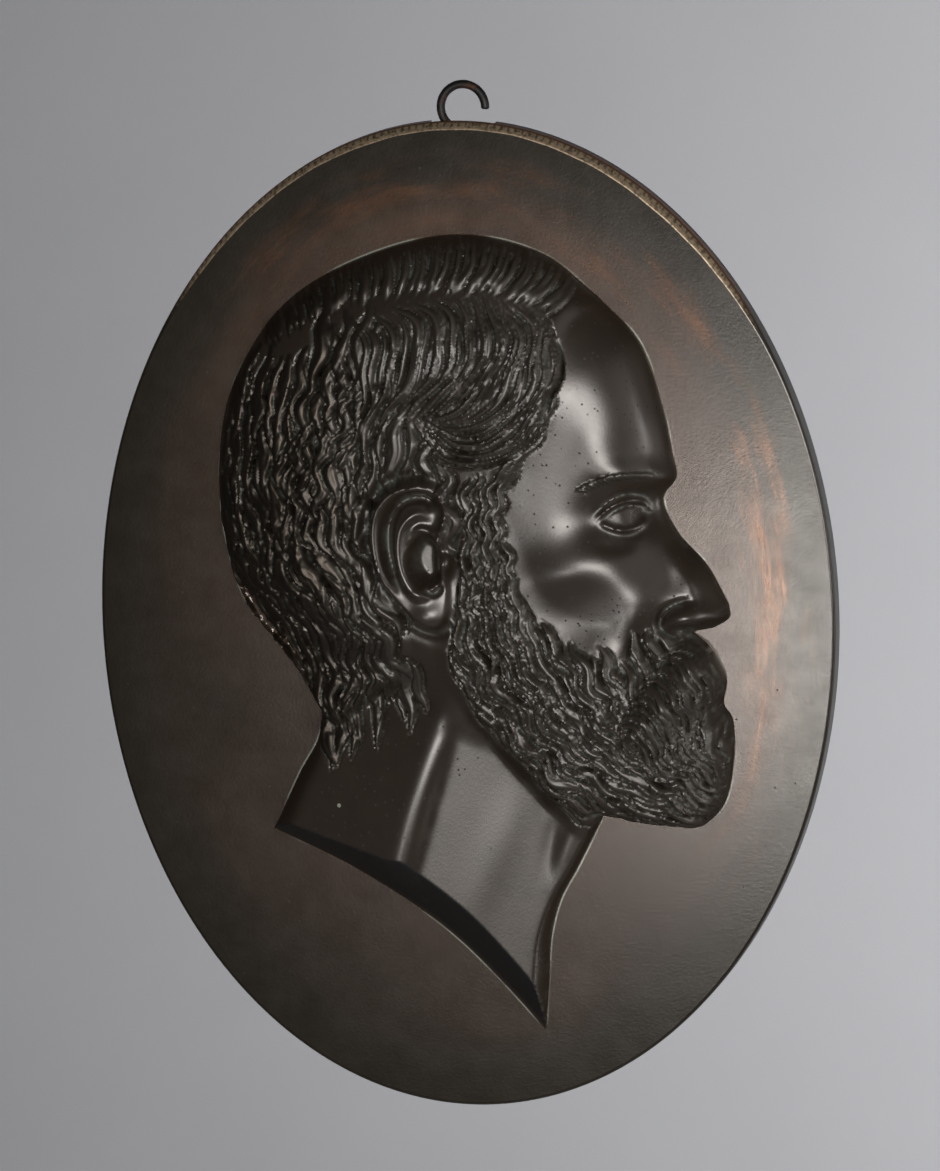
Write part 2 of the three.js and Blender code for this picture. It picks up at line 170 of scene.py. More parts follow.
def inside(x: Array, z: Array, loop: Array) -> Array:
    """Whether points lie inside a closed loop of samples.

    Args:
        x: the points' x.
        z: the points' z.
        loop: rows of (x, z), the last joined to the first.

    Returns:
        True for the points inside.
    """
    within = np.zeros(x.shape, dtype=bool)
    for (ax, az), (bx, bz) in zip(loop, np.roll(loop, -1, axis=0)):
        if az != bz:
            within ^= ((az > z) != (bz > z)) & (x < ax + (z - az) * (bx - ax) / (bz - az))
    return within


def add_object(name: str, data: bpy.types.ID) -> bpy.types.Object:
    """Puts a new object into the scene.

    Args:
        name: its name.
        data: its mesh, light or camera.

    Returns:
        The object.
    """
    made = bpy.data.objects.new(name, data)
    bpy.context.collection.objects.link(made)
    return made


def add_mesh(name: str, bm: bmesh.types.BMesh) -> bpy.types.Object:
    """Puts a mesh that was being edited into the scene and ends the editing.

    Args:
        name: the object's name and the mesh's.
        bm: the mesh being edited.

    Returns:
        The object.
    """
    mesh = bpy.data.meshes.new(name)
    bm.to_mesh(mesh)
    bm.free()
    return add_object(name, mesh)


@dataclass
class Canon:
    """The head's layout on the usual canon, with levels as shares of its height."""

    height: float = 250.0
    crown: float = 186.0
    back: float = -117.0
    depth_share: float = 0.875
    hairline: float = 0.17
    brow: float = 0.44
    eye: float = 0.5
    nose_base: float = 0.72
    mouth: float = 0.81
    chin: float = 1.0

    def level(self, share: float) -> float:
        """The z of a level, given as a share of the head's height below the crown."""
        return self.crown - share * self.height

    @property
    def front(self) -> float:
        """The x of the brow, which is the face's front."""
        return self.back + self.depth_share * self.height

    @property
    def nose_reach(self) -> float:
        """How far the nose's tip stands before the brow."""
        return 0.11 * self.height

    @property
    def ear(self) -> Point:
        """The ear's middle: just behind the head's own, between the brow and the nose's base."""
        middle = self.back + 0.47 * self.depth_share * self.height + 4
        return middle, (self.level(self.brow) + self.level(self.nose_base)) / 2


@dataclass
class Outlines:
    """The head's outlines in the plaque's plane."""

    canon: Canon
    nape: Point = (-68.0, -44.0)
    cut_corner: Point = (-93.0, -105.0)
    cut_tip: Point = (43.0, -197.0)
    runs_on: float = 20.0
    step: float = 0.8

    def skull(self) -> Array:
        """From the nape up the back of the head and over the crown to the forehead."""
        back, crown = self.canon.back, self.canon.crown
        return spline([self.nape, (-84, -19), (-105, 6), (-115, 36), (back - 1, 73), (-111, 112),
                       (-85, 152), (-45, 176), (0, crown + 1), (40, 179), (66, 160)], self.step)

    def face(self) -> Array:
        """The forehead, brow, nose and moustache in profile, on the canon's proportions.

        Returns:
            Rows of (x, z), from the forehead to under the beard.
        """
        c = self.canon
        front, nose, mouth, chin = c.front, c.level(c.nose_base), c.level(c.mouth), c.level(c.chin)
        brow, eye, tip = c.level(c.brow), c.level(c.eye), c.front + c.nose_reach
        forehead = spline([(66, 160), (front - 16, c.level(c.hairline) - 4), (front - 5, brow + 34),
                           (front, brow + 12), (front + 2, brow + 1), (front - 4, eye + 6),
                           (front + 3, eye - 10), (blend(front, tip, 0.62), nose + 30),
                           (tip, nose + 12)], self.step)
        under_nose = spline([(tip, nose + 12), (tip + 0.5, nose + 6), (tip - 6, nose + 1),
                             (front + 11, nose - 2)], self.step)
        beard = spline([(front + 11, nose - 2), (front + 20, nose - 10), (front + 27, nose - 24),
                        (front + 26, nose - 36), (front + 30, mouth - 20), (front + 31, chin + 10),
                        (front + 27, chin - 14), (front + 17, chin - 25), (front, chin - 26),
                        (71, -87)], self.step)
        return np.vstack([forehead, under_nose[1:], beard[1:]])

    def throat(self) -> Array:
        """The front of the neck, from under the beard down to the cut's tip."""
        return spline([(71, -87), (58.5, -114), (50, -131), (45.5, -150), (44.5, -172), self.cut_tip],
                      self.step)

    def cut(self) -> Array:
        """The foot of the neck's cut, one hollow sweep from its back corner to its front tip."""
        return spline([self.cut_corner, (-56, -120.5), (-17.5, -142), (1, -155.5), (24, -177),
                       self.cut_tip], self.step)

    def back_of_neck(self) -> Array:
        """From the cut's back corner up to the nape."""
        return spline([self.cut_corner, (-90, -99), (-79, -75), (-70, -58), self.nape], self.step)

    def upper(self) -> Array:
        """All of the outline that stands above the ground at full height."""
        return np.vstack([self.skull(), self.face()[1:], self.throat()[1:]])

    def head(self) -> Array:
        """The head's closed outline, as it meets the ground."""
        return np.vstack([self.upper(), self.cut()[::-1][1:], self.back_of_neck()[1:-1]])

    def whole(self) -> Array:
        """The closed outline with the neck run on past its cut.

        Returns:
            Rows of (x, z).
        """
        tip, corner = self.cut_tip, self.cut_corner
        below = [(tip[0] + 3, tip[1] - self.runs_on), (corner[0] - 7, corner[1] - self.runs_on), corner]
        return np.vstack([self.upper(), np.asarray(below), self.back_of_neck()[1:-1]])


class Clay:
    """A sheet of heights over the plaque's plane, worked by swellings, ridges and locks."""

    def __init__(self, half_width: float, half_height: float, pitch: float) -> None:
        """Lays the sheet.

        Args:
            half_width: half its width.
            half_height: half its height.
            pitch: the distance between its points.
        """
        self.pitch = pitch
        self.xs = np.arange(math.floor(2 * half_width / pitch) + 2) * pitch - half_width
        self.zs = np.arange(math.floor(2 * half_height / pitch) + 2) * pitch - half_height
        self.x, self.z = np.meshgrid(self.xs, self.zs)
        self.h = np.zeros(self.x.shape)

    def points_in(self, length: float) -> int:
        """How many of its points a length spans, at least one."""
        return max(1, int(length / self.pitch))

    def window(self, line: Array, margin: float) -> tuple[slice, slice]:
        """The rows and columns of the sheet within margin of a line.

        Args:
            line: rows of (x, z).
            margin: how far round it to reach.

        Returns:
            The slices of its rows and of its columns.
        """
        low, high = line.min(axis=0) - margin, line.max(axis=0) + margin
        c0, c1 = np.clip(((low[0] - self.xs[0]) / self.pitch, (high[0] - self.xs[0]) / self.pitch + 2),
                         0, len(self.xs))
        r0, r1 = np.clip(((low[1] - self.zs[0]) / self.pitch, (high[1] - self.zs[0]) / self.pitch + 2),
                         0, len(self.zs))
        return slice(int(r0), int(r1)), slice(int(c0), int(c1))

    def mound(self, x: float, z: float, along: float, across: float, turn: float, rise: float) -> None:
        """Adds a soft swelling, or a hollow where rise is below zero.

        Args:
            x: its middle's x.
            z: its middle's z.
            along: its half length.
            across: its half width.
            turn: the angle of its length from x, in degrees.
            rise: its height.
        """
        reach = 2.6 * max(along, across)
        at = self.window(np.array([(x, z)]), reach)
        dx, dz = self.x[at] - x, self.z[at] - z
        c, s = math.cos(math.radians(turn)), math.sin(math.radians(turn))
        u, v = dx * c + dz * s, dz * c - dx * s
        self.h[at] += rise * np.exp(-((u / along) ** 2) - (v / across) ** 2)

    def ridge(self, points: Points, width: float, rise: float, start: float = 0.3, end: float = 0.3,
              lean: float = 0.0) -> None:
        """Adds a ridge along a curve, or a groove where rise is below zero.

        Args:
            points: the points that the curve passes through.
            width: its half width.
            rise: its height.
            start: the share of the curve over which it rises from nothing.
            end: the share over which it dies away.
            lean: how much steeper its left side is than its right, from -1 to 1.
        """
        line = spline(points, 1.0)
        at = self.window(line, 2.6 * width)
        d, along, side = distance_to_line(self.x[at], self.z[at], line)
        fade = smooth(0.0, max(start, 1e-3), along + 1e-9) * smooth(1.0, 1.0 - max(end, 1e-3), along)
        wide = width * (1.0 - lean * side)
        self.h[at] += rise * fade * np.exp(-((d / wide) ** 2))

    def sample(self, values: Array, x: Array, z: Array) -> Array:
        """A sheet of values read between its points.

        Args:
            values: a value for each point of the sheet.
            x: the places' x.
            z: the places' z.

        Returns:
            The values there.
        """
        u = np.clip((x - self.xs[0]) / self.pitch, 0, len(self.xs) - 1.001)
        v = np.clip((z - self.zs[0]) / self.pitch, 0, len(self.zs) - 1.001)
        i, j = u.astype(int), v.astype(int)
        fu, fv = u - i, v - j
        top = values[j, i] * (1 - fu) + values[j, i + 1] * fu
        low = values[j + 1, i] * (1 - fu) + values[j + 1, i + 1] * fu
        return top * (1 - fv) + low * fv


def blurred(values: Array, radius: int, passes: int = 2) -> Array:
    """Values averaged over a square round each point.

    Args:
        values: a value for each point of a sheet.
        radius: how many points the square reaches each way.
        passes: how often they are averaged.

    Returns:
        The averaged values.
    """
    if radius < 1:
        return values
    out = values
    width = 2 * radius + 1
    for _ in range(passes):
        for axis in (0, 1):
            pad = [(radius + 1, radius) if k == axis else (0, 0) for k in (0, 1)]
            sums = np.cumsum(np.pad(out, pad, mode="edge"), axis=axis)
            if axis == 0:
                out = (sums[width:] - sums[:-width]) / width
            else:
                out = (sums[:, width:] - sums[:, :-width]) / width
    return out


class Flow:
    """The way that hair lies: a field of directions led by a few guide strokes."""

    def __init__(self, guides: list[Points], reach: float) -> None:
        """Takes the guides.

        Args:
            guides: strokes, each from root to tip.
            reach: the distance at which a guide's pull has fallen by half.
        """
        lines = [spline(guide, 4.0) for guide in guides]
        self.places = np.vstack([(line[1:] + line[:-1]) / 2 for line in lines])
        steps = np.vstack([np.diff(line, axis=0) for line in lines])
        self.ways = steps / np.hypot(*steps.T)[:, None]
        self.reach = reach

    def way(self, x: float, z: float) -> Array:
        """The direction in which hair lies at a place.

        Args:
            x: the place's x.
            z: the place's z.

        Returns:
            The direction, with a length of 1.
        """
        d2 = (self.places[:, 0] - x) ** 2 + (self.places[:, 1] - z) ** 2
        pull = 1.0 / (d2 + self.reach**2) ** 2
        way = (self.ways * pull[:, None]).sum(axis=0)
        return way / (np.hypot(*way) + 1e-12)

    def trace(self, x: float, z: float, length: float, step: float = 2.0) -> Array:
        """A line that follows the field from a place for a length.

        Args:
            x: its root's x.
            z: its root's z.
            length: its length.
            step: the distance between its points.

        Returns:
            Rows of (x, z).
        """
        line = [(x, z)]
        for _ in range(max(2, int(length / step))):
            dx, dz = self.way(x, z)
            mx, mz = self.way(x + dx * step / 2, z + dz * step / 2)
            x, z = x + mx * step, z + mz * step
            line.append((x, z))
        return np.asarray(line)


def waved(line: Array, swing: float, wave_length: float, phase: float = 0.0,
          tilt: float = 0.0) -> Array:
    """A line swung from side to side in step with its neighbours.

    Args:
        line: rows of (x, z).
        swing: how far it swings.
        wave_length: the height of one wave.
        phase: where in the wave level z = 0 lies, in radians.
        tilt: how much the waves climb from left to right.

    Returns:
        The swung line.
    """
    way = np.gradient(line, axis=0)
    way /= np.hypot(*way.T)[:, None] + 1e-12
    level = line[:, 1] - tilt * line[:, 0]
    sway = swing * np.sin(-2 * math.pi * level / wave_length + phase)
    return line + np.column_stack([-way[:, 1], way[:, 0]]) * sway[:, None]


def between_guides(guides: list[Points], share: float, count: int = 40) -> Array:
    """A line a share of the way through a row of guide strokes.

    Args:
        guides: the strokes, side by side, each from root to tip.
        share: 0 on the first guide and 1 on the last.
        count: how many samples the line has.

    Returns:
        Rows of (x, z).
    """
    place = min(max(share, 0.0), 1.0) * (len(guides) - 1)
    first = min(int(place), len(guides) - 2)
    lines = []
    for guide in guides[first : first + 2]:
        line = spline(guide, 0.5)
        at = np.linspace(0, len(line) - 1, count)
        lines.append(np.column_stack([np.interp(at, np.arange(len(line)), line[:, k]) for k in (0, 1)]))
    return lines[0] + (lines[1] - lines[0]) * (place - first)


@dataclass
class Lock:
    """One lock of hair: a tapering strand along a line, with fine hairs in it."""

    line: Array
    width: float
    rise: float
    hairs: float = 2.5
    lift: float = 0.0
    groove: float = 0.8
    tip: float = 0.12
    root: float = 0.45
    phase: float = 0.0


class Comb:
    """Lays locks on clay, over the surface that it had before the first of them."""

    def __init__(self, clay: Clay) -> None:
        """Takes the clay's surface as the scalp or skin that the locks lie on.

        Args:
            clay: the clay to work on.
        """
        self.clay = clay
        self.skin = clay.h.copy()
        self.cover = np.zeros(clay.h.shape)

    def lay(self, lock: Lock) -> None:
        """Presses one lock on to the clay, with a groove round it.

        Args:
            lock: the lock.
        """
        clay = self.clay
        at = clay.window(lock.line, 2.2 * lock.width)
        d, along, side = distance_to_line(clay.x[at], clay.z[at], lock.line)
        taper = np.interp(along, (0, 0.25, 0.6, 1), (lock.root, 1.0, 0.92, lock.tip))
        half = lock.width * taper
        across = d / half
        body = np.sqrt(np.clip(1 - across**2, 0, 1))
        hairs = 0.5 + 0.5 * np.cos(2 * math.pi * lock.hairs * side * across / 2 + lock.phase + 2.0 * along)
        profile = np.interp(along, (0, 0.3, 0.75, 1), (0.0, 1, 0.9, 0.15))
        height = (lock.lift + lock.rise * body * (0.74 + 0.26 * hairs)) * profile
        trench = lock.groove * np.exp(-(((across - 1.08) / 0.28) ** 2)) * np.interp(
            along, (0, 0.15, 1), (0.2, 1, 0.8))
        inside_lock = across < 1
        skin = self.skin[at]
        here = clay.h[at] - np.where(inside_lock, 0, trench)
        clay.h[at] = np.where(inside_lock, np.maximum(here, skin + height), here)
        self.cover[at] = np.maximum(self.cover[at], smooth(1.3, 0.9, across))


class Ground:
    """The oval ground: a shallow dish inside a flat rim."""

    def __init__(self, half_width: float, half_height: float, depth: float = 0.8) -> None:
        """Takes the oval's half sizes and how deep the dish is."""
        self.half_width, self.half_height, self.depth = half_width, half_height, depth

    def share(self, x: Array, z: Array) -> Array:
        """How far out a place lies, as a share of the oval's radius there."""
        return np.hypot(x / self.half_width, z / self.half_height)

    def height(self, x: Array, z: Array) -> Array:
        """The dish's height at a place, measured from the rim."""
        return -self.depth * (1 - np.clip(self.share(x, z) / 0.97, 0, 1) ** 2)


@dataclass
class NeckForm:
    """The flat passages of the neck, each given by its height at one place and its two falls."""

    muscle: Points = ((-40, -210), (-25, -152), (-18, -126), (-12.4, -104), (-4.5, -74),
                      (4.4, -42), (9, -24))
    front_height: float = 26.0
    front_fall: float = 0.25
    side_height: float = 29.8
    side_fall: float = 0.20
    side_arch: float = 0.002
    side_middle: float = -88.0
    crest_back: float = 10.0
    climb: float = 0.10
    side_climb: float = 0.08
    middle_z: float = -124.0
    throat: float = 9.5

    def heights(self, x: Array, z: Array) -> Array:
        """The neck's side, the step down from its long muscle, and the plane before it.

        Args:
            x: the places' x.
            z: the places' z.

        Returns:
            The heights over the ground.
        """
        line = spline(self.muscle, 2.0)
        edge = np.interp(z, line[:, 1], line[:, 0])
        front = self.front_height - self.front_fall * (x - edge) - self.climb * (z - self.middle_z)
        front = -lower_of(-front, np.full(x.shape, -self.throat), 0.8)
        crest = edge - self.crest_back
        up = z - self.side_middle
        side = self.side_height + self.side_fall * np.minimum(x - crest, 0.0)
        side = side - self.side_climb * up - self.side_arch * up**2
        width = np.interp(z, (-120, -45), (13.0, 16.0))
        step = 1.0 - np.clip((edge - x) / width, 0.0, 1.0)
        return front + (side - front) * (1.0 - step**2.8)


@dataclass
class DomeForm:
    """The dome under the head's forms: its height, and how far in from the outline it rounds."""

    full: float = 33.0
    jaw_drop: float = 2.0
    head_round: float = 60.0
    neck_round: float = 44.0
    fall: float = 2.2
    steepness: float = 1.6


@dataclass
class EarForm:
    """The ear's sizes: half its height, its backward lean in degrees, and its plate and hollow."""

    half: float = 36.0
    lean: float = 7.0
    plate: float = 1.5
    plate_behind: float = 4.5
    trench: float = 2.4
    hollow: float = 9.0


class Head:
    """The bearded head, modelled on clay from its dome to its last lock."""

    def __init__(self, ground: Ground, canon: Canon, pitch: float = 0.5, seed: int = 7) -> None:
        """Sets out the head.

        Args:
            ground: the ground it stands on.
            canon: its layout.
            pitch: the clay's fineness.
            seed: the seed for the small differences between locks.
        """
        self.ground, self.canon = ground, canon
        self.outlines = Outlines(canon)
        self.dome_form, self.ear_form = DomeForm(), EarForm()
        self.clay = Clay(ground.half_width, ground.half_height, pitch)
        self.random = np.random.default_rng(seed)
        depth = self.signed(self.outlines.whole()[::2])
        soft = blurred(depth, round(4.0 / pitch), 2)
        self.depth_in = depth + (soft - depth) * smooth(3.0, 12.0, depth)
        self.foot_depth = self.signed(self.outlines.head()[::2])
        self.hair_line = self.build_hair_line()
        self.neck = NeckForm()

    @staticmethod
    def cut_height(x: Array, above: Array) -> Array:
        """How high the slanting cut lets the neck stand at places that lie above its foot."""
        return np.interp(x, (-65.0, -30.0, -14.0, 38.0), (1.5, 1.3, 1.04, 0.84)) * above

    def build_hair_line(self) -> Array:
        """The hair's edge, from the forehead down past the temple, the ear and the nape.

        Returns:
            Rows of (x, z).
        """
        c = self.canon
        ex, ez = c.ear
        hairline = c.level(c.hairline)
        return spline([(70, 190), (66, hairline + 20), (54, hairline + 8), (48, hairline - 8),
                       (50, hairline - 26), (46, hairline - 40), (36, hairline - 54),
                       (30, hairline - 66), (ex + 36, ez + 40), (ex + 34, ez + 22), (ex + 26, ez + 10)],
                      2.0)

    def hair_mask(self) -> Array:
        """Where hair grows on the skull.

        Returns:
            A share from 0 to 1 for each point of the clay.
        """
        ex, ez = self.canon.ear
        edge = np.vstack([self.hair_line,
                          [(ex + 16, ez + 6), (ex + 14, ez + 30), (ex, ez + 40), (ex - 20, ez + 32),
                           (ex - 26, ez), (ex - 20, ez - 26), (ex - 10, ez - 42), (ex - 14, ez - 62),
                           (ex - 34, ez - 76), (ex - 56, ez - 92), (-72, -50), (-140, -40), (-140, 200)]])
        return smooth(-5.0, 4.0, self.signed(edge))

    def beard_mask(self) -> Array:
        """Where the beard grows.

        Returns:
            A share from 0 to 1 for each point of the clay.
        """
        ex, ez = self.canon.ear
        edge = np.array([(ex + 18, ez + 18), (ex + 32, ez + 20), (ex + 40, ez + 2), (ex + 49, ez - 18),
                         (ex + 64, ez - 33), (ex + 78, ez - 37), (ex + 92, ez - 37),
                         (ex + 100, ez - 28), (160, 10), (160, -120), (66, -92), (48, -76), (31, -57),
                         (ex + 25, ez - 77), (ex + 14, ez - 56), (ex + 12, ez - 36), (ex + 18, ez - 10)])
        return smooth(-9.0, 10.0, self.signed(edge))

    def signed(self, loop: Array) -> Array:
        """How far inside a closed loop each point of the clay lies.

        Args:
            loop: rows of (x, z).

        Returns:
            The distances, below zero outside.
        """
        sheet = Clay(self.ground.half_width, self.ground.half_height, 4 * self.clay.pitch)
        d, _, _ = distance_to_line(sheet.x, sheet.z, np.vstack([loop, loop[:1]]))
        return sheet.sample(np.where(inside(sheet.x, sheet.z, loop), d, -d), self.clay.x, self.clay.z)

    # -------------------------------------------------------------- the soft forms

    def neck_share(self, x: Array, z: Array) -> Array:
        """How far places belong to the neck, from 0 on the head to 1 below the jaw."""
        return smooth(-10.0, -58.0, z + 0.35 * (x - 20))

    def dome(self, x: Array, z: Array, depth: Array) -> Array:
        """The dome's height, steep at the outline and nearly flat over the cheek and skull.

        Args:
            x: the places' x.
            z: the places' z.
            depth: how far inside the outline each lies.

        Returns:
            The heights over the ground.
        """
        neck = self.neck_share(x, z)
        jaw = smooth(40.0, -40.0, z) * smooth(-20.0, 60.0, x)
        form = self.dome_form
        full = form.full - form.jaw_drop * jaw * (1 - neck)
        round_in = form.head_round + (form.neck_round - form.head_round) * neck
        share = 1 - np.clip(depth / round_in, 0, 1)
        return full * (1 - share**form.fall) ** (1 / form.steepness)

    def lay_dome(self) -> None:
        """Raises the head's dome on the clay."""
        clay = self.clay
        clay.h = self.dome(clay.x, clay.z, np.clip(self.depth_in, 0, None))

    def model_face(self) -> None:
        """Models the brow, eye, nose and cheek on the canon's levels."""
        clay, c = self.clay, self.canon
        front, brow, eye, nose = c.front, c.level(c.brow), c.level(c.eye), c.level(c.nose_base)
        held = clay.h.copy()
        # Forehead, temple and brow.
        clay.mound(front - 20, brow + 34, 22, 26, 80, 2.2)
        clay.mound(front - 46, brow + 20, 16, 28, -12, -2.4)
        clay.mound(front - 30, brow + 14, 10, 18, 30, 1.0)
        clay.ridge([(front + 3, brow + 1), (front - 8, brow + 4.5), (front - 22, brow + 5),
                    (front - 34, brow - 1)], 7.0, 3.3, 0.1, 0.5)
        # The socket, then the ball and its lids.
        ex, ez = front - 18, eye + 0.5
        clay.mound(ex - 1, ez + 1, 17, 9.5, 6, -7.0)
        clay.mound(ex + 13, ez + 2, 7, 8, 40, -5.0)
        clay.mound(ex, ez, 10.5, 7.6, -4, 6.2)
        upper = [(ex + 9.5, ez - 0.5), (ex + 7, ez + 4.6), (ex + 1, ez + 6.6), (ex - 6, ez + 4.4),
                 (ex - 12.5, ez - 1.2), (ex - 16, ez - 4)]
        clay.ridge(upper, 1.5, 2.3, 0.08, 0.35)
        clay.ridge([(px - 0.4, pz + 3.4) for px, pz in upper], 1.2, -1.6, 0.15, 0.4)
        clay.ridge([(px + 0.2, pz - 2.1) for px, pz in upper[:5]], 0.9, -1.1, 0.1, 0.3)
        lower = [(ex + 8.6, ez - 2.2), (ex + 5.5, ez - 5.4), (ex - 1, ez - 6.4), (ex - 8, ez - 4.6),
                 (ex - 12.6, ez - 1.6)]
        clay.ridge(lower, 1.3, 1.5, 0.1, 0.2)
        clay.ridge([(px - 0.2, pz - 2.8) for px, pz in lower], 1.9, -1.1, 0.2, 0.3)
        clay.ridge([(ex + 4.6, ez + 3.9), (ex + 3.2, ez + 0.4), (ex + 4.2, ez - 3.6)], 0.55, -0.8, 0.2, 0.2)
        clay.mound(ex + 6.2, ez + 0.3, 1.5, 1.9, 0, -1.0)
        clay.ridge([(ex + 6, ez - 11), (ex - 4, ez - 13), (ex - 14, ez - 10)], 3.4, -1.3, 0.3, 0.4)
        # Nose: its side plane, wing, nostril and the crease behind the wing.
        tip = front + c.nose_reach
        clay.ridge([(front - 3, eye + 8), (front + 4, eye - 14), (front + 13, nose + 26),
                    (tip - 7, nose + 11)], 6.0, 3.4, 0.2, 0.3)
        clay.mound(front + 2, nose + 22, 8, 14, -24, -1.8)
        clay.mound(tip - 9, nose + 8.5, 8.5, 6.5, 10, 3.6)
        clay.mound(front + 9.0, nose + 7.5, 8.6, 6.0, 12, 6.6)
        clay.ridge([(front + 16, nose + 16), (front + 8, nose + 15.5), (front + 0.5, nose + 11),
                    (front - 1.5, nose + 4), (front + 2.5, nose - 1.5)], 1.9, -3.6, 0.35, 0.2)
        clay.ridge([(front + 4.5, nose + 0.6), (front + 10, nose + 2.2), (front + 15.5, nose + 1.4)],
                   1.5, -4.2, 0.2, 0.25)
        clay.ridge([(front + 4.5, nose + 2.9), (front + 10, nose + 4.9), (front + 16, nose + 4.6)], 1.3,
                   1.2, 0.3, 0.3)
        # Cheek: its bone, the hollow under it and the fold beside the nose.
        clay.mound(front - 36, nose + 33, 27, 11, 16, 3.6)
        clay.mound(front - 20, nose + 26, 11, 9, -30, 1.6)
        clay.mound(front - 42, nose + 2, 20, 15, 60, -2.4)
        clay.ridge([(front - 2.5, nose + 11), (front - 9, nose + 2), (front - 14, nose - 10),
                    (front - 17, nose - 22)], 4.4, -1.5, 0.3, 0.4)
        clay.mound(front - 13, nose + 8, 8, 13, -30, 1.7)
        # The mouth is under the moustache. The lower lip shows beneath it only as a soft roll.
        clay.mound(front + 14, c.level(c.mouth) - 9, 9, 4, -10, 2.0)
        self.keep_edge(held, 9.0)

    def model_neck(self) -> None:
        """Models the jaw's underside, the long neck muscle and the windpipe."""
        clay = self.clay
        held = clay.h.copy()
        planes = blurred(self.neck.heights(clay.x, clay.z), 4, 2)
        share = self.neck_share(clay.x, clay.z)
        clay.h += (lower_of(planes, clay.h, 0.8) - clay.h) * share
        # Two soft folds run down the throat from under the beard.
        clay.mound(22, -104, 34, 9, 72, 0.7)
        clay.ridge([(62, -84), (54, -104), (48, -128)], 4.0, 0.9, 0.3, 0.6)
        clay.ridge([(50, -84), (46, -104), (42, -126)], 3.0, -0.5, 0.3, 0.6)
        self.keep_edge(held, 3.0)
        self.neck_drop = (held - clay.h) * share

    def keep_edge(self, before: Array, reach: float) -> None:
        """Fades what was added since before out within reach of the head's outline."""
        share = smooth(0.0, reach, self.depth_in)
        self.clay.h = before + (self.clay.h - before) * share

    def add_masses(self) -> None:
        """Raises the hair, the beard and the moustache as masses over the skin."""
        clay, c = self.clay, self.canon
        front, mouth, chin = c.front, c.level(c.mouth), c.level(c.chin)
        self.hair, self.beard = self.hair_mask(), self.beard_mask()
        held = clay.h.copy()
        clay.h += (2.2 + 0.3 * self.neck_drop) * self.hair + (2.4 + 0.8 * self.neck_drop) * self.beard
        clay.mound(28, 108, 28, 30, 20, 2.6)
        clay.mound(front - 6, chin + 12, 38, 26, -42, 4.4)
        clay.mound(50, -38, 34, 20, -48, 3.0)
        clay.ridge([(front + 14, mouth + 16), (front + 11, mouth + 1), (front - 1, mouth - 15),
                    (front - 13, mouth - 25)], 9.5, 7.0, 0.15, 0.3)
        clay.mound(-72, 18, 30, 16, 70, 2.0)
        self.keep_edge(held, 7.0)

    # -------------------------------------------------------------- the ear

    def model_ear(self) -> None:
        """Models the ear: its rim, the fold inside it, the hollow, the lobe and the flap."""
        clay, form = self.clay, self.ear_form
        ex, ez = self.canon.ear
        half = form.half
        cosine, sine = math.cos(math.radians(form.lean)), math.sin(math.radians(form.lean))

        def place(u: float, v: float) -> Point:
            """A place on the ear, from its middle in shares of its half height."""
            x, z = u * half, v * half
            return ex + x * cosine - z * sine, ez + z * cosine + x * sine

        contour = spline([place(0.36, 0.30), place(0.44, 0.66), place(0.26, 0.93), place(-0.08, 1.0),
                          place(-0.42, 0.86), place(-0.62, 0.5), place(-0.64, 0.08),
                          place(-0.54, -0.34), place(-0.36, -0.68), place(-0.14, -0.93),
                          place(0.10, -1.0), place(0.28, -0.88), place(0.34, -0.62), place(0.36, -0.3),
                          place(0.40, 0.0)], 1.5, closed=True)
        at = clay.window(contour, 12.0)
        x, z = clay.x[at], clay.z[at]
        d, _, _ = distance_to_line(x, z, contour)
        d = np.where(inside(x, z, contour), d, -d)
        behind = smooth(0.55, -0.35, ((x - ex) * cosine + (z - ez) * sine) / half)
        flat = float(np.median(self.comb.skin[at][d > 6]))
        base = clay.h[at]
        plate = flat + form.plate + form.plate_behind * behind
        body = smooth(-0.4, 3.4, d)
        trench = form.trench * np.exp(-(((d + 2.2) / 2.0) ** 2)) * (0.35 + 0.65 * behind)
        clay.h[at] = base * (1 - body) + plate * body - trench * (1 - body)
        self.ear_cover = np.zeros(clay.h.shape)
        self.ear_cover[at] = smooth(-3.0, -1.0, d)
        self.comb.cover[at] *= 1 - smooth(-1.0, 0.5, d)
        hollow = spline([place(0.24, 0.16), place(0.02, 0.26), place(-0.16, 0.06), place(-0.16, -0.22),
                         place(0.0, -0.42), place(0.2, -0.36), place(0.24, -0.1)], 1.5, closed=True)
        hd, _, _ = distance_to_line(x, z, hollow)
        hd = np.where(inside(x, z, hollow), hd, -hd)
        clay.h[at] -= form.hollow * smooth(-1.5, 5.5, hd)
        clay.ridge([place(0.2, 0.02), place(0.3, 0.24), place(0.42, 0.54), place(0.34, 0.8),
                    place(0.08, 0.92), place(-0.24, 0.86), place(-0.48, 0.6), place(-0.56, 0.2),
                    place(-0.5, -0.2), place(-0.36, -0.52), place(-0.22, -0.72)], 3.1, 4.6, 0.06, 0.22)
        clay.ridge([place(0.30, 0.56), place(0.14, 0.74), place(-0.12, 0.74), place(-0.34, 0.5),
                    place(-0.41, 0.14), place(-0.36, -0.24), place(-0.24, -0.5)], 2.3, -4.4, 0.1, 0.25)
        clay.ridge([place(0.26, 0.42), place(0.04, 0.56), place(-0.16, 0.42), place(-0.25, 0.12),
                    place(-0.23, -0.2), place(-0.12, -0.44), place(0.02, -0.52)], 2.7, 3.2, 0.25, 0.1)
        clay.ridge([place(0.28, 0.26), place(0.06, 0.36), place(-0.12, 0.3)], 1.9, 2.2, 0.2, 0.5)
        clay.mound(*place(0.0, -0.5), 3.6, 2.8, 30, 2.6)
        clay.mound(*place(0.33, -0.12), 3.6, 5.2, -8, 5.0)
        clay.mound(*place(0.05, -0.78), 7.5, 6.5, 0, 2.6)
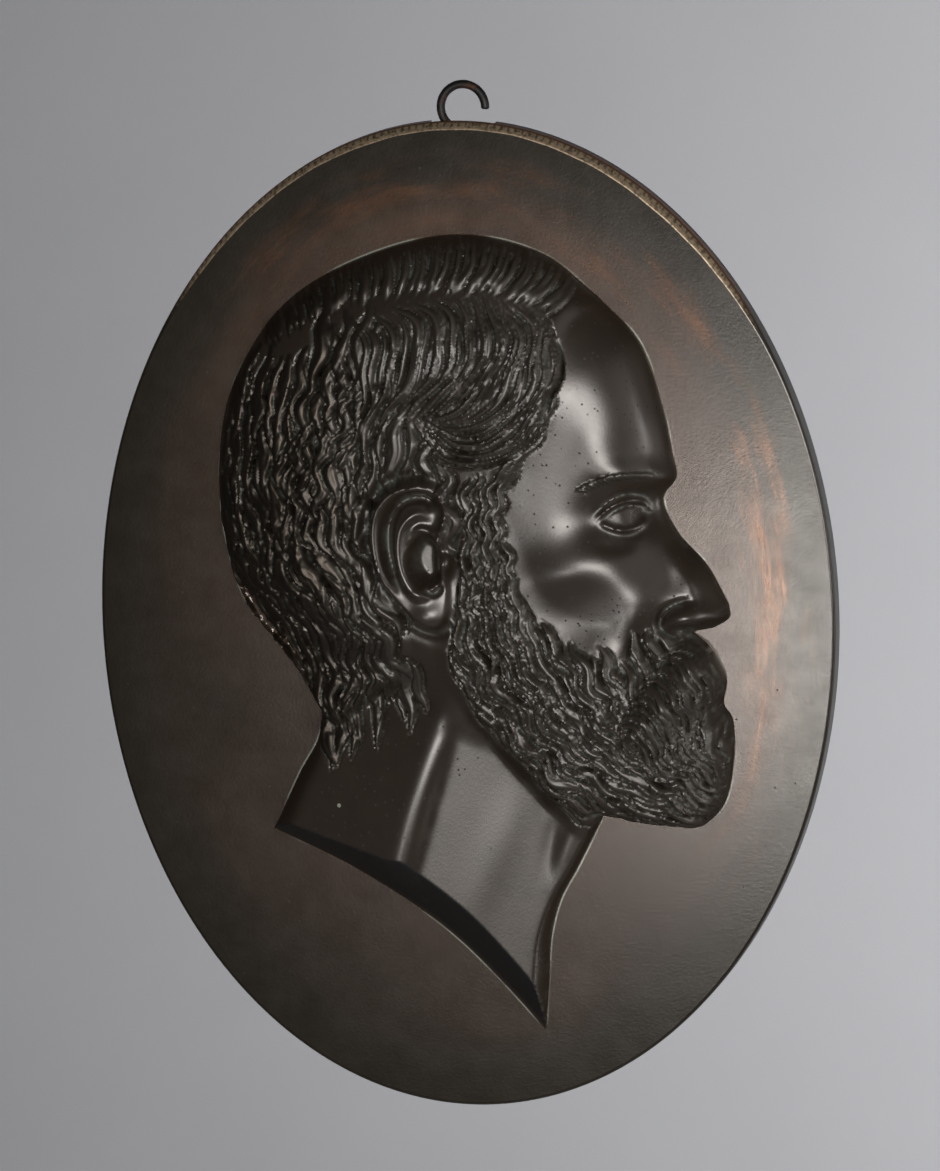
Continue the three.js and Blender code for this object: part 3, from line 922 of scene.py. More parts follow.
        clay.ridge([place(-0.02, -0.42), place(0.12, -0.5), place(0.24, -0.4)], 1.4, -2.4, 0.2, 0.2)

    # -------------------------------------------------------------- the hair

    def comb_all(self) -> None:
        """Combs the hair, the beard and the moustache, each lock over the ones below it."""
        self.comb = Comb(self.clay)
        locks = [*self.back_locks(), *self.beard_locks(), *self.crown_locks(), *self.temple_locks(),
                 *self.sideburn_locks(), *self.moustache_locks(), *self.brow_locks()]
        for lock in locks:
            self.comb.lay(lock)
        clay = self.clay
        cover = self.comb.cover
        worn = cover * blend(0.3, 0.8, smooth(20.0, -20.0, clay.x))
        clay.h += (blurred(clay.h, 1, 1) - clay.h) * worn
        above = clay.z - self.parting(clay.x) - 1.0
        feet = np.exp(-((above / 5.0) ** 2)) * cover * smooth(64.0, 52.0, clay.x)
        clay.h += (blurred(clay.h, 2, 3) - clay.h) * feet
        LOG.info("combed %d locks", len(locks))

    def vary(self, size: float) -> float:
        """A small random difference of up to size either way."""
        return float(self.random.uniform(-size, size))

    def scatter(self, mask: Array, across: float, along: float) -> Points:
        """Roots spread over a mask in loose rows, from the lowest to the highest.

        Args:
            mask: where hair grows, from 0 to 1.
            across: the distance between roots in a row.
            along: the distance between rows.

        Returns:
            The roots' places.
        """
        clay = self.clay
        roots = []
        for row, z in enumerate(np.arange(clay.zs[0], clay.zs[-1], along)):
            for x in np.arange(clay.xs[0] + (row % 3) * across / 3, clay.xs[-1], across):
                px, pz = x + self.vary(0.3 * across), z + self.vary(0.5 * along)
                if clay.sample(mask, np.array(px), np.array(pz)) > 0.5:
                    roots.append((px, pz))
        return roots

    def parting(self, x: Array | float) -> Array:
        """The parting's z at an x."""
        return np.interp(x, (-112, -104, -93, -63, -40, -9, 20, 44, 60),
                         (96, 120, 137, 152, 158, 163, 165, 160, 152))

    def back_locks(self) -> list[Lock]:
        """The waved locks that fall from the parting over the back of the head to the nape.

        Returns:
            The locks, in the order in which they are laid.
        """
        flow = Flow([[(-95, 138), (-104, 112), (-108, 84), (-108, 60), (-100, 38), (-88, 18), (-74, -4),
                      (-66, -24), (-62, -46)],
                     [(-82, 146), (-88, 120), (-90, 92), (-90, 64), (-84, 42), (-72, 22), (-60, 4),
                      (-54, -16), (-53, -40)],
                     [(-64, 150), (-68, 124), (-72, 98), (-74, 72), (-70, 50), (-60, 30), (-48, 12),
                      (-44, -8), (-48, -34)],
                     [(-50, 152), (-50, 130), (-54, 104), (-58, 78), (-60, 56), (-54, 38), (-42, 22),
                      (-34, 4), (-28, -16)],
                     [(-36, 122), (-42, 100), (-46, 80), (-46, 62), (-44, 44), (-36, 24), (-28, 6),
                      (-18, -8)]], 7.0)
        clay = self.clay
        front_edge = np.interp(clay.z, (76, 84, 104, 120, 140), (-2, 6, -8, -24, -30))
        region = self.hair * smooth(0, -3, clay.x - front_edge) * smooth(2, 0, clay.z - self.parting(clay.x))
        region = region * (self.depth_in > 0.8)
        locks = []
        for x, z in self.scatter(region, 6.6, 12.5):
            nape = float(smooth(10, -30, np.array(z)))
            length = blend(38, 26, nape) + self.vary(12)
            line = flow.trace(x, z, length)
            drift = 1.6 * math.sin(x / 15.0 + 1.0) + 1.4 * math.sin(z / 24.0 + x / 30.0) + self.vary(0.5)
            swing = 1.8 + 0.9 * math.sin(x / 11.0 - z / 19.0) + self.vary(0.6)
            line = waved(line, swing, 23.0 + 3.0 * math.sin(x / 21.0 + z / 17.0), drift, 0.25)
            flat = float(smooth(-45, -105, np.array(x)))
            clump = 0.8 * math.sin(x / 6.0 + z / 29.0)
            locks.append(Lock(line, 3.4 + 0.8 * clump + self.vary(0.7),
                              blend(2.6, 1.2, flat) + 0.5 * clump + self.vary(0.7),
                              2.2 + self.vary(0.5), 0.3 + 0.5 * clump + self.vary(0.5), 1.8, 0.15, 0.35,
                              self.vary(2)))
        return locks

    def crown_locks(self) -> list[Lock]:
        """The short row that stands along the top of the skull and curls back over it.

        Returns:
            The locks, in the order in which they are laid.
        """
        locks = []
        count = 40
        for k in range(count):
            t = (k + self.vary(0.3)) / (count - 1)
            x = blend(-94, 54, t)
            top = float(np.interp(x, (-90, -62, -34, 0, 28, 50, 62, 75),
                                  (148, 167, 179, 187, 184, 173, 164, 150))) - 0.6
            foot = (x + blend(7, -8, t) + self.vary(1.2),
                    min(self.parting(x) - 1.0, top - 11) + self.vary(2.0))
            tip = (x + blend(-5, 3, t) + self.vary(0.8), top + self.vary(0.5))
            bulge = blend(2.8, 3.6, t) + self.vary(0.7)
            middle = (blend(foot[0], tip[0], 0.55) + bulge, blend(foot[1], tip[1], 0.55))
            locks.append(Lock(spline([foot, middle, tip], 1.0), 2.1 + self.vary(0.5),
                              2.8 + self.vary(0.7), 1.4, 0.2 + self.vary(0.4), 1.3, 0.25, 0.3,
                              self.vary(2)))
        return locks

    def temple_locks(self) -> list[Lock]:
        """The long locks that bow from the parting to the temple and curl in above the ear.

        Returns:
            The locks, in the order in which they are laid.
        """
        guides = [
            [(-44, 152), (-37, 139), (-36, 127), (-37, 113), (-42, 99)],
            [(-26, 157), (-14, 150), (-11, 138), (-15, 125), (-24, 111), (-30, 99)],
            [(-6, 161), (5, 152), (7, 140), (2, 126), (-8, 113), (-16, 104)],
            [(11, 163), (19, 151), (18, 136), (9, 120), (-3, 109), (-9, 106)],
            [(22, 162), (32, 149), (33, 134), (26, 118), (12, 106), (0, 105), (-8, 110)],
            [(33, 160), (43, 146), (43, 130), (35, 111), (20, 99), (5, 98), (-7, 106)],
            [(42, 157), (51, 140), (49, 121), (39, 102), (22, 91), (5, 90), (-9, 99)],
            [(46, 150), (51, 130), (46, 108), (36, 93), (20, 84), (2, 84), (-13, 95)],
        ]
        locks = []
        for k in range(6):
            x = 52 - 2.2 * k
            edge = [(x - 1, 132 - 3 * k), (x - 1, 116 - 2 * k), (x - 6, 100 - k), (x - 15, 86 - 2 * k),
                    (x - 19, 74 - 2 * k)]
            locks.append(Lock(waved(spline(edge, 1.5), 0.8, 17.0, 0.6 * k), 1.7 + self.vary(0.2), 1.7,
                              1.2, 0.1, 1.0, 0.2, 0.2))
        count = 44
        for k in reversed(range(count)):
            t = (k + self.vary(0.25)) / (count - 1)
            line = between_guides(guides, t)
            first, last = int(abs(self.vary(10))), 40 - int(abs(self.vary(12)))
            line = line[first:last] if k % 3 else line
            clump = 0.9 * math.sin(k * 2.1)
            line = waved(line, 1.0 + 0.5 * clump, 26.0, 0.4 * self.vary(1) + 0.5 * k / 5.0, 0.3)
            locks.append(Lock(line, 2.3 + self.vary(0.5), 3.0 + 0.7 * clump + self.vary(0.3), 1.5,
                              0.6 + 0.4 * clump, 1.5, 0.2, 0.3, self.vary(2)))
        return locks

    def sideburn_locks(self) -> list[Lock]:
        """The short waved locks that run down before the ear into the beard.

        Returns:
            The locks, in the order in which they are laid.
        """
        ex, ez = self.canon.ear
        flow = Flow([[(ex + 30, ez + 40), (ex + 26, ez + 16), (ex + 28, ez - 8), (ex + 36, ez - 34)],
                     [(ex + 42, ez + 40), (ex + 36, ez + 18), (ex + 40, ez - 6), (ex + 52, ez - 30)]], 8.0)
        locks = []
        for row in range(8):
            for k in range(5):
                x = ex + 22 + 4.0 * k + self.vary(1.0) + 0.2 * row
                z = ez - 24 + 9.0 * row + self.vary(2.0)
                line = waved(flow.trace(x, z, 20 + self.vary(4)), 1.4 + self.vary(0.3), 13.0,
                             0.3 * self.vary(1), 0.2)
                locks.append(Lock(line, 1.7 + self.vary(0.3), 2.2 + self.vary(0.4), 1.0,
                                  0.2 + self.vary(0.3), 1.2, 0.2, 0.4))
        return locks

    def beard_locks(self) -> list[Lock]:
        """The beard's waved locks, that fall from the cheek and turn forward to its tip.

        Returns:
            The locks, in the order in which they are laid.
        """
        flow = Flow([
            [(12, 34), (14, 8), (24, -20), (42, -46), (68, -70), (96, -86)],
            [(20, 12), (28, -8), (42, -28), (60, -48), (86, -66), (116, -78)],
            [(40, 34), (46, 10), (58, -10), (74, -30), (92, -50), (116, -66)],
            [(64, 12), (70, -8), (82, -26), (94, -44), (112, -60), (126, -72)],
            [(84, -4), (90, -22), (98, -38), (110, -52), (122, -64), (130, -78)],
            [(112, -34), (114, -46), (122, -58), (132, -72), (132, -86)],
            [(134, -22), (128, -38), (130, -52), (136, -66), (132, -86)],
        ], 7.0)
        region = self.beard * (self.depth_in > 0.8)
        locks = []
        for x, z in self.scatter(region, 4.0, 8.4):
            length = 30 + self.vary(9)
            drift = 1.6 * math.sin(x / 19.0 + 2.0) + 1.4 * math.sin(z / 17.0 + x / 23.0) + self.vary(0.9)
            swing = 1.5 + 0.6 * math.sin(x / 9.0 + z / 15.0) + self.vary(0.5)
            line = waved(flow.trace(x, z, length), swing, 26.0, drift, 0.8)
            locks.append(Lock(line, 2.3 + self.vary(0.7), 3.2 + self.vary(0.8), 1.2 + self.vary(0.3),
                              0.4 + self.vary(0.6), 1.5, 0.15, 0.35, self.vary(2)))
        return locks

    def brow_locks(self) -> list[Lock]:
        """The eyebrow's short hairs, that lean back along the brow.

        Returns:
            The locks, in the order in which they are laid.
        """
        front, brow = self.canon.front, self.canon.level(self.canon.brow)
        locks = []
        for k in range(16):
            t = k / 15
            x = front - 5 - 29 * t
            z = brow + 3.2 + 2.2 * math.sin(math.pi * t) - 4.5 * t**2
            lean = blend(3.0, -0.5, t)
            line = spline([(x, z - 1.5), (x - 3.0, z + 0.6 * lean),
                           (x - 6.5, z + 0.4 * lean + self.vary(0.4))], 1.0)
            locks.append(Lock(line, 0.9, 1.5 + self.vary(0.3), 1.0, 0.0, 0.4, 0.2, 0.4))
        return locks

    def moustache_locks(self) -> list[Lock]:
        """The moustache: strands that leave the lip's edge, arch over and hang across the mouth.

        Returns:
            The locks, in the order in which they are laid.
        """
        c = self.canon
        front, nose, mouth = c.front, c.level(c.nose_base), c.level(c.mouth)
        guides = [[(front + 11, nose - 3), (front + 19, nose - 7), (front + 25, nose - 18),
                   (front + 25, nose - 32)],
                  [(front + 2, nose - 7), (front + 12, nose - 8), (front + 20, nose - 20),
                   (front + 22, mouth - 18)],
                  [(front - 7, nose - 18), (front + 2, nose - 16), (front + 11, nose - 26),
                   (front + 15, mouth - 26)],
                  [(front - 14, mouth - 10), (front - 6, mouth - 7), (front + 3, mouth - 17),
                   (front + 7, mouth - 34)],
                  [(front - 20, mouth - 24), (front - 12, mouth - 21), (front - 5, mouth - 29),
                   (front - 2, mouth - 44)]]
        locks = []
        count = 15
        for k in reversed(range(count)):
            line = between_guides(guides, (k + self.vary(0.2)) / (count - 1))
            line = waved(line, 0.5, 14.0, self.vary(0.8))
            locks.append(Lock(line[: 40 - int(abs(self.vary(6)))], 2.4 + self.vary(0.4),
                              3.8 + self.vary(0.7), 1.0, 0.4 + self.vary(0.6), 2.4, 0.2, 0.4,
                              self.vary(2)))
        return locks

    # -------------------------------------------------------------- the cut and the finish

    def cut_neck(self) -> None:
        """Sets the sloping face that cuts the neck off, and keeps what the forms add to the dome."""
        clay = self.clay
        sheet = Clay(self.ground.half_width, self.ground.half_height, 2 * clay.pitch)
        above = np.full(sheet.x.shape, 200.0)
        near = (sheet.z < -60) & (sheet.x < 80) & (sheet.x > -130)
        d, _, side = distance_to_line(sheet.x[near], sheet.z[near], self.outlines.cut()[::2])
        above[near] = d * side
        self.above_cut = sheet.sample(above, clay.x, clay.z)
        self.added = clay.h - self.dome(clay.x, clay.z, np.clip(self.depth_in, 0, None))

    def height(self, x: Array, z: Array, depth: Array) -> Array:
        """The head's finished height.

        Args:
            x: the places' x.
            z: the places' z.
            depth: how far inside the outline each lies.

        Returns:
            The heights over the ground, 0 outside the head.
        """
        clay = self.clay
        body = self.dome(x, z, np.clip(depth, 0, None)) + clay.sample(self.added, x, z)
        body = np.minimum(body, self.cut_height(x, clay.sample(self.above_cut, x, z)))
        return np.where((depth > 0.05) & (body > 0), body, 0.0)

    def surface(self) -> Array:
        """The finished surface at each point of the clay, run on past the head's outline.

        Returns:
            The heights over the ground.
        """
        clay = self.clay
        whole = self.added + self.dome(clay.x, clay.z, np.clip(self.depth_in, 0, None))
        return np.minimum(whole, np.maximum(self.cut_height(clay.x, self.above_cut), 0))

    def model(self) -> None:
        """Models the whole head."""
        self.lay_dome()
        self.model_face()
        self.model_neck()
        self.add_masses()
        self.comb_all()
        self.model_ear()
        self.cut_neck()


@dataclass
class Edge:
    """The plaque's edge: its bevel, filed wider along the top, its draft and its rounded back corner."""

    bevel: float = 0.8
    filed_bevel: float = 3.2
    filed_from: float = 30.0
    filed_to: float = 150.0
    fade: float = 25.0
    draft: float = 0.8
    unevenness: float = 0.35

    def filed(self, angle: Array) -> Array:
        """How fully the bevel is filed.

        Args:
            angle: angles from x, in radians.

        Returns:
            Shares from 0 to 1.
        """
        degrees = np.degrees(angle)
        return smooth(self.filed_from, self.filed_from + self.fade, degrees) * smooth(
            self.filed_to, self.filed_to - self.fade, degrees)

    def width(self, angle: Array) -> Array:
        """The bevel's width, a little uneven where the file went.

        Args:
            angle: angles from x, in radians.

        Returns:
            The widths.
        """
        filed = self.filed(angle)
        wander = np.sin(9 * angle + 1.0) + 0.6 * np.sin(23 * angle) + 0.4 * np.sin(57 * angle + 2.0)
        uneven = self.unevenness * filed * (1 + 0.5 * wander)
        return self.bevel + (self.filed_bevel - self.bevel) * filed - uneven


@dataclass
class Pocket:
    """The pocket in the back, open at the top edge, and the blind bore below it for the hook's screw."""

    width: float = 31.0
    below: float = 17.0
    depth: float = 5.1
    bore_radius: float = 2.35
    bore_depth: float = 22.0


@dataclass
class Casting:
    """The bronze casting: the plaque's mesh draped over the modelled head and ground."""

    head: Head
    ground: Ground
    edge: Edge = field(default_factory=Edge)
    pocket: Pocket = field(default_factory=Pocket)
    thickness: float = 10.0
    split: float = -4.2
    around: int = 720
    fine: float = 0.82
    crease: float = 0.95
    skin: float = 1.7
    margin_net: float = 2.6
    ground_net: float = 6.0
    rim_gap: float = 0.030
    corner: float = 0.35
    lip: float = 0.95
    sharp_from: float = 48.0
    flat_from: float = 0.9
    name: str = "bronze_plaque"

    def __post_init__(self) -> None:
        """Reads the casting's place from the frame."""
        low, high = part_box("bronze_casting")
        self.back_y = high.y / MM
        self.centre_z = (low.z + high.z) / 2 / MM
        self.angles = np.linspace(0, 2 * math.pi, self.around, endpoint=False)

    def ring(self, inset: Array | float) -> Array:
        """A ring of points round the oval, inset from its edge."""
        return np.column_stack([(self.ground.half_width - inset) * np.cos(self.angles),
                                (self.ground.half_height - inset) * np.sin(self.angles)])

    def side_inset(self, left: Array | float) -> Array | float:
        """How far the drafted side stands in from the oval where this much of it is left behind."""
        return self.edge.draft * left / (self.thickness - self.edge.bevel)

    def world(self, x: Array, z: Array, out: Array | float) -> Array:
        """Places in metres in the frame, from the plaque's plane and the height over its rim."""
        y = self.back_y - self.thickness - np.broadcast_to(out, np.shape(x))
        return np.column_stack([x, y, z + self.centre_z]) * MM

    def spacing(self) -> Array:
        """How far apart the mesh's points may be.

        Returns:
            A distance for each point of the clay.
        """
        head, clay = self.head, self.head.clay
        worked = np.maximum(head.comb.cover, head.ear_cover)
        worked = blurred(worked, clay.points_in(1.6), 1) > 0.03
        surface = head.surface()
        bent = np.abs(surface - blurred(surface, clay.points_in(1.0), 2))
        creased = blurred((bent > 0.10).astype(float), clay.points_in(0.8), 1) > 0.1
        out = np.full(clay.h.shape, self.ground_net)
        out[head.depth_in > -10] = self.margin_net
        out[head.depth_in > 0.2] = self.skin
        out[creased & (head.depth_in > 0.2)] = self.crease
        out[worked & (head.depth_in > 0.2)] = self.fine
        out[(head.above_cut < -0.5) & (head.above_cut > -10)] = self.margin_net
        out[head.above_cut < -10] = self.ground_net
        return out

    def nets(self, inner: Array) -> list[Array]:
        """The points of the mesh inside the oval, each net where its own spacing holds.

        Args:
            inner: how far inside the head's outline loops of points lie.

        Returns:
            Rows of (x, z), one set for each net.
        """
        clay, head = self.head.clay, self.head
        spacing = self.spacing()
        nets = []
        wide, tall = self.ground.half_width, self.ground.half_height
        for step in (self.fine, self.crease, self.skin, self.margin_net, self.ground_net):
            rows = np.arange(-tall, tall, step * math.sqrt(3) / 2)
            columns = np.arange(-wide, wide, step)
            x, z = np.meshgrid(columns, rows)
            x = x + (np.arange(len(rows)) % 2)[:, None] * step / 2
            i = np.clip(np.round((x - clay.xs[0]) / clay.pitch).astype(int), 0, len(clay.xs) - 1)
            j = np.clip(np.round((z - clay.zs[0]) / clay.pitch).astype(int), 0, len(clay.zs) - 1)
            depth = head.foot_depth[j, i]
            keep = spacing[j, i] == step
            keep &= self.ground.share(x, z) < 1 - 0.8 * step / wide - self.rim_gap
            keep &= (depth > inner[-1] + 0.45 * step) | (depth < -1.3 - 0.5 * step)
            nets.append(np.column_stack([x[keep], z[keep]]))
        return nets

    def loops(self, outline: Array, offsets: Array) -> list[Array]:
        """Lines of points that follow the head's outline at a few distances.

        Args:
            outline: rows of (x, z).
            offsets: the distances, above zero inside it.

        Returns:
            Rows of (x, z), one set for each distance.
        """
        way = np.roll(outline, -1, axis=0) - np.roll(outline, 1, axis=0)
        way /= np.hypot(*way.T)[:, None]
        inward = np.column_stack([way[:, 1], -way[:, 0]])
        closed = np.vstack([outline, outline[:1]])
        loops = []
        for offset in offsets:
            points = outline + offset * inward
            d, _, _ = distance_to_line(points[:, 0], points[:, 1], closed)
            loops.append(points[np.abs(d - abs(offset)) < 0.12])
        return loops

    def front(self) -> tuple[Array, Array, list[tuple[int, int, int]]]:
        """The front's mesh in the plaque's plane.

        Returns:
            Rows of (x, z), the depth of each inside the head's outline, and the triangles.
        """
        head = self.head
        outline = head.outlines.head()
        bevel = self.edge.draft + self.edge.width(self.angles)
        boundary, inside_rim = self.ring(bevel + self.corner), self.ring(bevel + self.lip)
        inner, outer = np.array([0.45, 1.1]), np.array([-0.4, -1.1])
        groups = [boundary, outline, inside_rim, *self.loops(outline, np.concatenate([inner, outer])),
                  *self.nets(inner)]
        points = np.vstack(groups)
        n, m = len(boundary), len(outline)
        edges = [(i, (i + 1) % n) for i in range(n)] + [(n + i, n + (i + 1) % m) for i in range(m)]
        made = delaunay_2d_cdt([Vector(p) for p in points], edges, [], 1, 1e-6)
        points = np.array([tuple(v) for v in made[0]])
        faces = [f for f in made[2] if len(f) == 3]
        depth = head.clay.sample(head.depth_in, points[:, 0], points[:, 1])
        near = np.abs(depth) < 4.5
        whole = head.outlines.whole()
        closed = np.vstack([whole, whole[:1]])
        d, _, _ = distance_to_line(points[near, 0], points[near, 1], closed)
        depth[near] = np.where(inside(points[near, 0], points[near, 1], whole), d, -d)
        return points, depth, faces

    def back(self) -> tuple[Array, list[tuple[int, ...]]]:
        """The slab behind the front, with the pocket and the bore cut into it.

        Returns:
            Its points in metres, and its faces without the cap that the front takes the place of.
        """
        side = self.side_inset(self.thickness + self.split)
        rings = [(side, self.split), (0.02, -self.thickness + 0.5), (0.5, -self.thickness)]
        bm = bmesh.new()
        made = []
        for inset, out in rings:
            flat = self.ring(inset)
            made.append([bm.verts.new(p) for p in self.world(flat[:, 0], flat[:, 1], out)])
        count = self.around
        for upper, lower in zip(made[:-1], made[1:]):
            for i in range(count):
                bm.faces.new((upper[i], upper[(i + 1) % count], lower[(i + 1) % count], lower[i]))
        bm.faces.new(made[0][::-1])
        bm.faces.new(made[-1])
        bmesh.ops.recalc_face_normals(bm, faces=bm.faces)
        slab = add_mesh("slab", bm)
        for cutter in (self.pocket_cutter(), self.bore_cutter()):
            cut = slab.modifiers.new("cut", "BOOLEAN")
            cut.operation, cut.solver, cut.object = "DIFFERENCE", "EXACT", cutter
        baked = bpy.data.meshes.new_from_object(slab.evaluated_get(bpy.context.evaluated_depsgraph_get()))
        points = np.array([v.co[:] for v in baked.vertices])
        cap = (self.back_y - self.thickness - self.split) * MM
        faces = [tuple(p.vertices) for p in baked.polygons
                 if not all(abs(points[v, 1] - cap) < 1e-7 for v in p.vertices)]
        for old in [o for o in bpy.data.objects if o.name.startswith(("slab", "cutter"))]:
            bpy.data.objects.remove(old)
        return points, faces

    def pocket_cutter(self) -> bpy.types.Object:
        """The block that cuts the pocket out of the back.

        Returns:
            The block.
        """
        top = self.ground.half_height + self.centre_z
        bm = bmesh.new()
        bmesh.ops.create_cube(bm, size=1.0)
        deep, tall = self.pocket.depth + 1.0, self.pocket.below + 20.0
        bmesh.ops.scale(bm, vec=Vector((self.pocket.width, deep, tall)) * MM, verts=bm.verts)
        middle = Vector((0, self.back_y - self.pocket.depth + deep / 2, top - self.pocket.below + tall / 2))
        bmesh.ops.translate(bm, vec=middle * MM, verts=bm.verts)
        return add_mesh("cutter_pocket", bm)

    def bore_cutter(self) -> bpy.types.Object:
        """The rod that drills the bore for the hook's screw.

        Returns:
            The rod.
        """
        top = self.ground.half_height + self.centre_z
        bm = bmesh.new()
        length = self.pocket.bore_depth + 1.0
        bmesh.ops.create_cone(bm, segments=32, radius1=self.pocket.bore_radius * MM,
                              radius2=self.pocket.bore_radius * MM, depth=length * MM, cap_ends=True)
        middle = Vector((0, 0, top - self.pocket.below - self.pocket.bore_depth + length / 2))
        bmesh.ops.translate(bm, vec=middle * MM, verts=bm.verts)
        return add_mesh("cutter_bore", bm)

    def build(self) -> bpy.types.Object:
        """Builds the casting as one closed mesh, with the marks that its finish reads.

        Returns:
            The casting.
        """
        head, edge = self.head, self.edge
        flat, depth, faces = self.front()
        over = head.height(flat[:, 0], flat[:, 1], depth)
        out = over + self.ground.height(flat[:, 0], flat[:, 1])
        out[: self.around] = 0.0
        points = [self.world(flat[:, 0], flat[:, 1], out)]
        marks = self.marks(flat, depth, over)
        faces = [f[::-1] if self.faces_back(flat, f) else f for f in faces]
        bevel = edge.width(self.angles)
        rings = [(edge.draft + bevel - 0.05, -0.12),
                 (edge.draft + 0.1 * bevel, -0.9 * bevel),
                 (self.side_inset(self.thickness - bevel - self.corner), -bevel - self.corner),
                 (self.side_inset(self.thickness + self.split), self.split)]
        count, start = self.around, 0
        total = len(flat)
        filed = edge.filed(self.angles)
        for inset, drop in rings:
            place = self.ring(inset)
            points.append(self.world(place[:, 0], place[:, 1], drop))
            for name in marks:
                share = filed if name == "filed" else np.zeros(count)
                marks[name] = np.concatenate([marks[name], share])
            for i in range(count):
                j = (i + 1) % count
                faces.append((start + i, total + i, total + j, start + j))
            start, total = total, total + count
        marks["filed"][: self.around] = filed
        back_points, back_faces = self.back()
        points.append(back_points)
        gaps = np.linalg.norm(back_points[:, None] - points[-2][None], axis=2)
        index = np.where(gaps.min(axis=1) < 1e-6, start + gaps.argmin(axis=1),
                         total + np.arange(len(back_points)))
        faces += [tuple(int(index[v]) for v in f) for f in back_faces]
        for name in marks:
            marks[name] = np.concatenate([marks[name], np.zeros(len(back_points))])
        return self.mesh_from(np.vstack(points), faces, marks)

    def faces_back(self, flat: Array, face: tuple[int, int, int]) -> bool:
        """Whether a triangle of the front runs clockwise as the viewer sees it."""
        (ax, az), (bx, bz), (cx, cz) = (flat[v] for v in face)
        return (bx - ax) * (cz - az) - (bz - az) * (cx - ax) < 0

    def marks(self, flat: Array, depth: Array, over: Array) -> dict[str, Array]:
        """What the finish has to know at each point of the front.

        Args:
            flat: rows of (x, z).
            depth: how far each lies inside the head's outline.
            over: the head's height there.

        Returns:
            Values by name: relief, hair, hollow, deep, crest, cut, away and filed.
        """
        head, clay = self.head, self.head.clay
        surface = np.where(head.depth_in > 0, head.surface(), 0)
        tight = surface - blurred(surface, clay.points_in(1.2), 2)
        broad = surface - blurred(surface, clay.points_in(3.0), 2)
        x, z = flat[:, 0], flat[:, 1]
        slope = head.cut_height(x, clay.sample(head.above_cut, x, z))
        cut = smooth(1.2, 0.2, slope - over) * (over > 0.2)
        on_head = (over > 0.2) * (1 - cut)
        away = np.where(over > 0.2, 0.0, np.maximum(-clay.sample(head.foot_depth, x, z), 0))
        return {
            "relief": smooth(0.2, 2.5, over),
            "hair": clay.sample(blurred(head.comb.cover, 1, 1), x, z) * on_head,
            "hollow": np.clip(-clay.sample(tight, x, z) / 0.8, 0, 1) * on_head,
            "deep": np.clip(-clay.sample(broad, x, z) / 2.5, 0, 1) * on_head,
            "crest": np.clip(clay.sample(tight, x, z) / 0.7, 0, 1) * on_head,
            "cut": cut,
            "away": away,
            "filed": np.zeros(len(flat)),
        }

    def mesh_from(self, points: Array, faces: list[tuple[int, ...]],
                  marks: dict[str, Array]) -> bpy.types.Object:
        """The finished object.

        Args:
            points: rows of (x, y, z) in metres.
            faces: each face's points.
            marks: values by name, one for each point.

        Returns:
            The object.
        """
        mesh = bpy.data.meshes.new(self.name)
        mesh.from_pydata([tuple(p) for p in points], [], faces)
        for name, values in marks.items():
            mesh.attributes.new(name, "FLOAT", "POINT").data.foreach_set("value", values.astype(np.float32))
        bm = bmesh.new()
        bm.from_mesh(mesh)
        bmesh.ops.delete(bm, geom=[v for v in bm.verts if not v.link_faces], context="VERTS")
        bmesh.ops.recalc_face_normals(bm, faces=bm.faces)
        for face in bm.faces:
            face.smooth = face.normal.y < self.flat_from
        bm.to_mesh(mesh)
        bm.free()
        mesh.set_sharp_from_angle(angle=math.radians(self.sharp_from))
        return add_object(self.name, mesh)


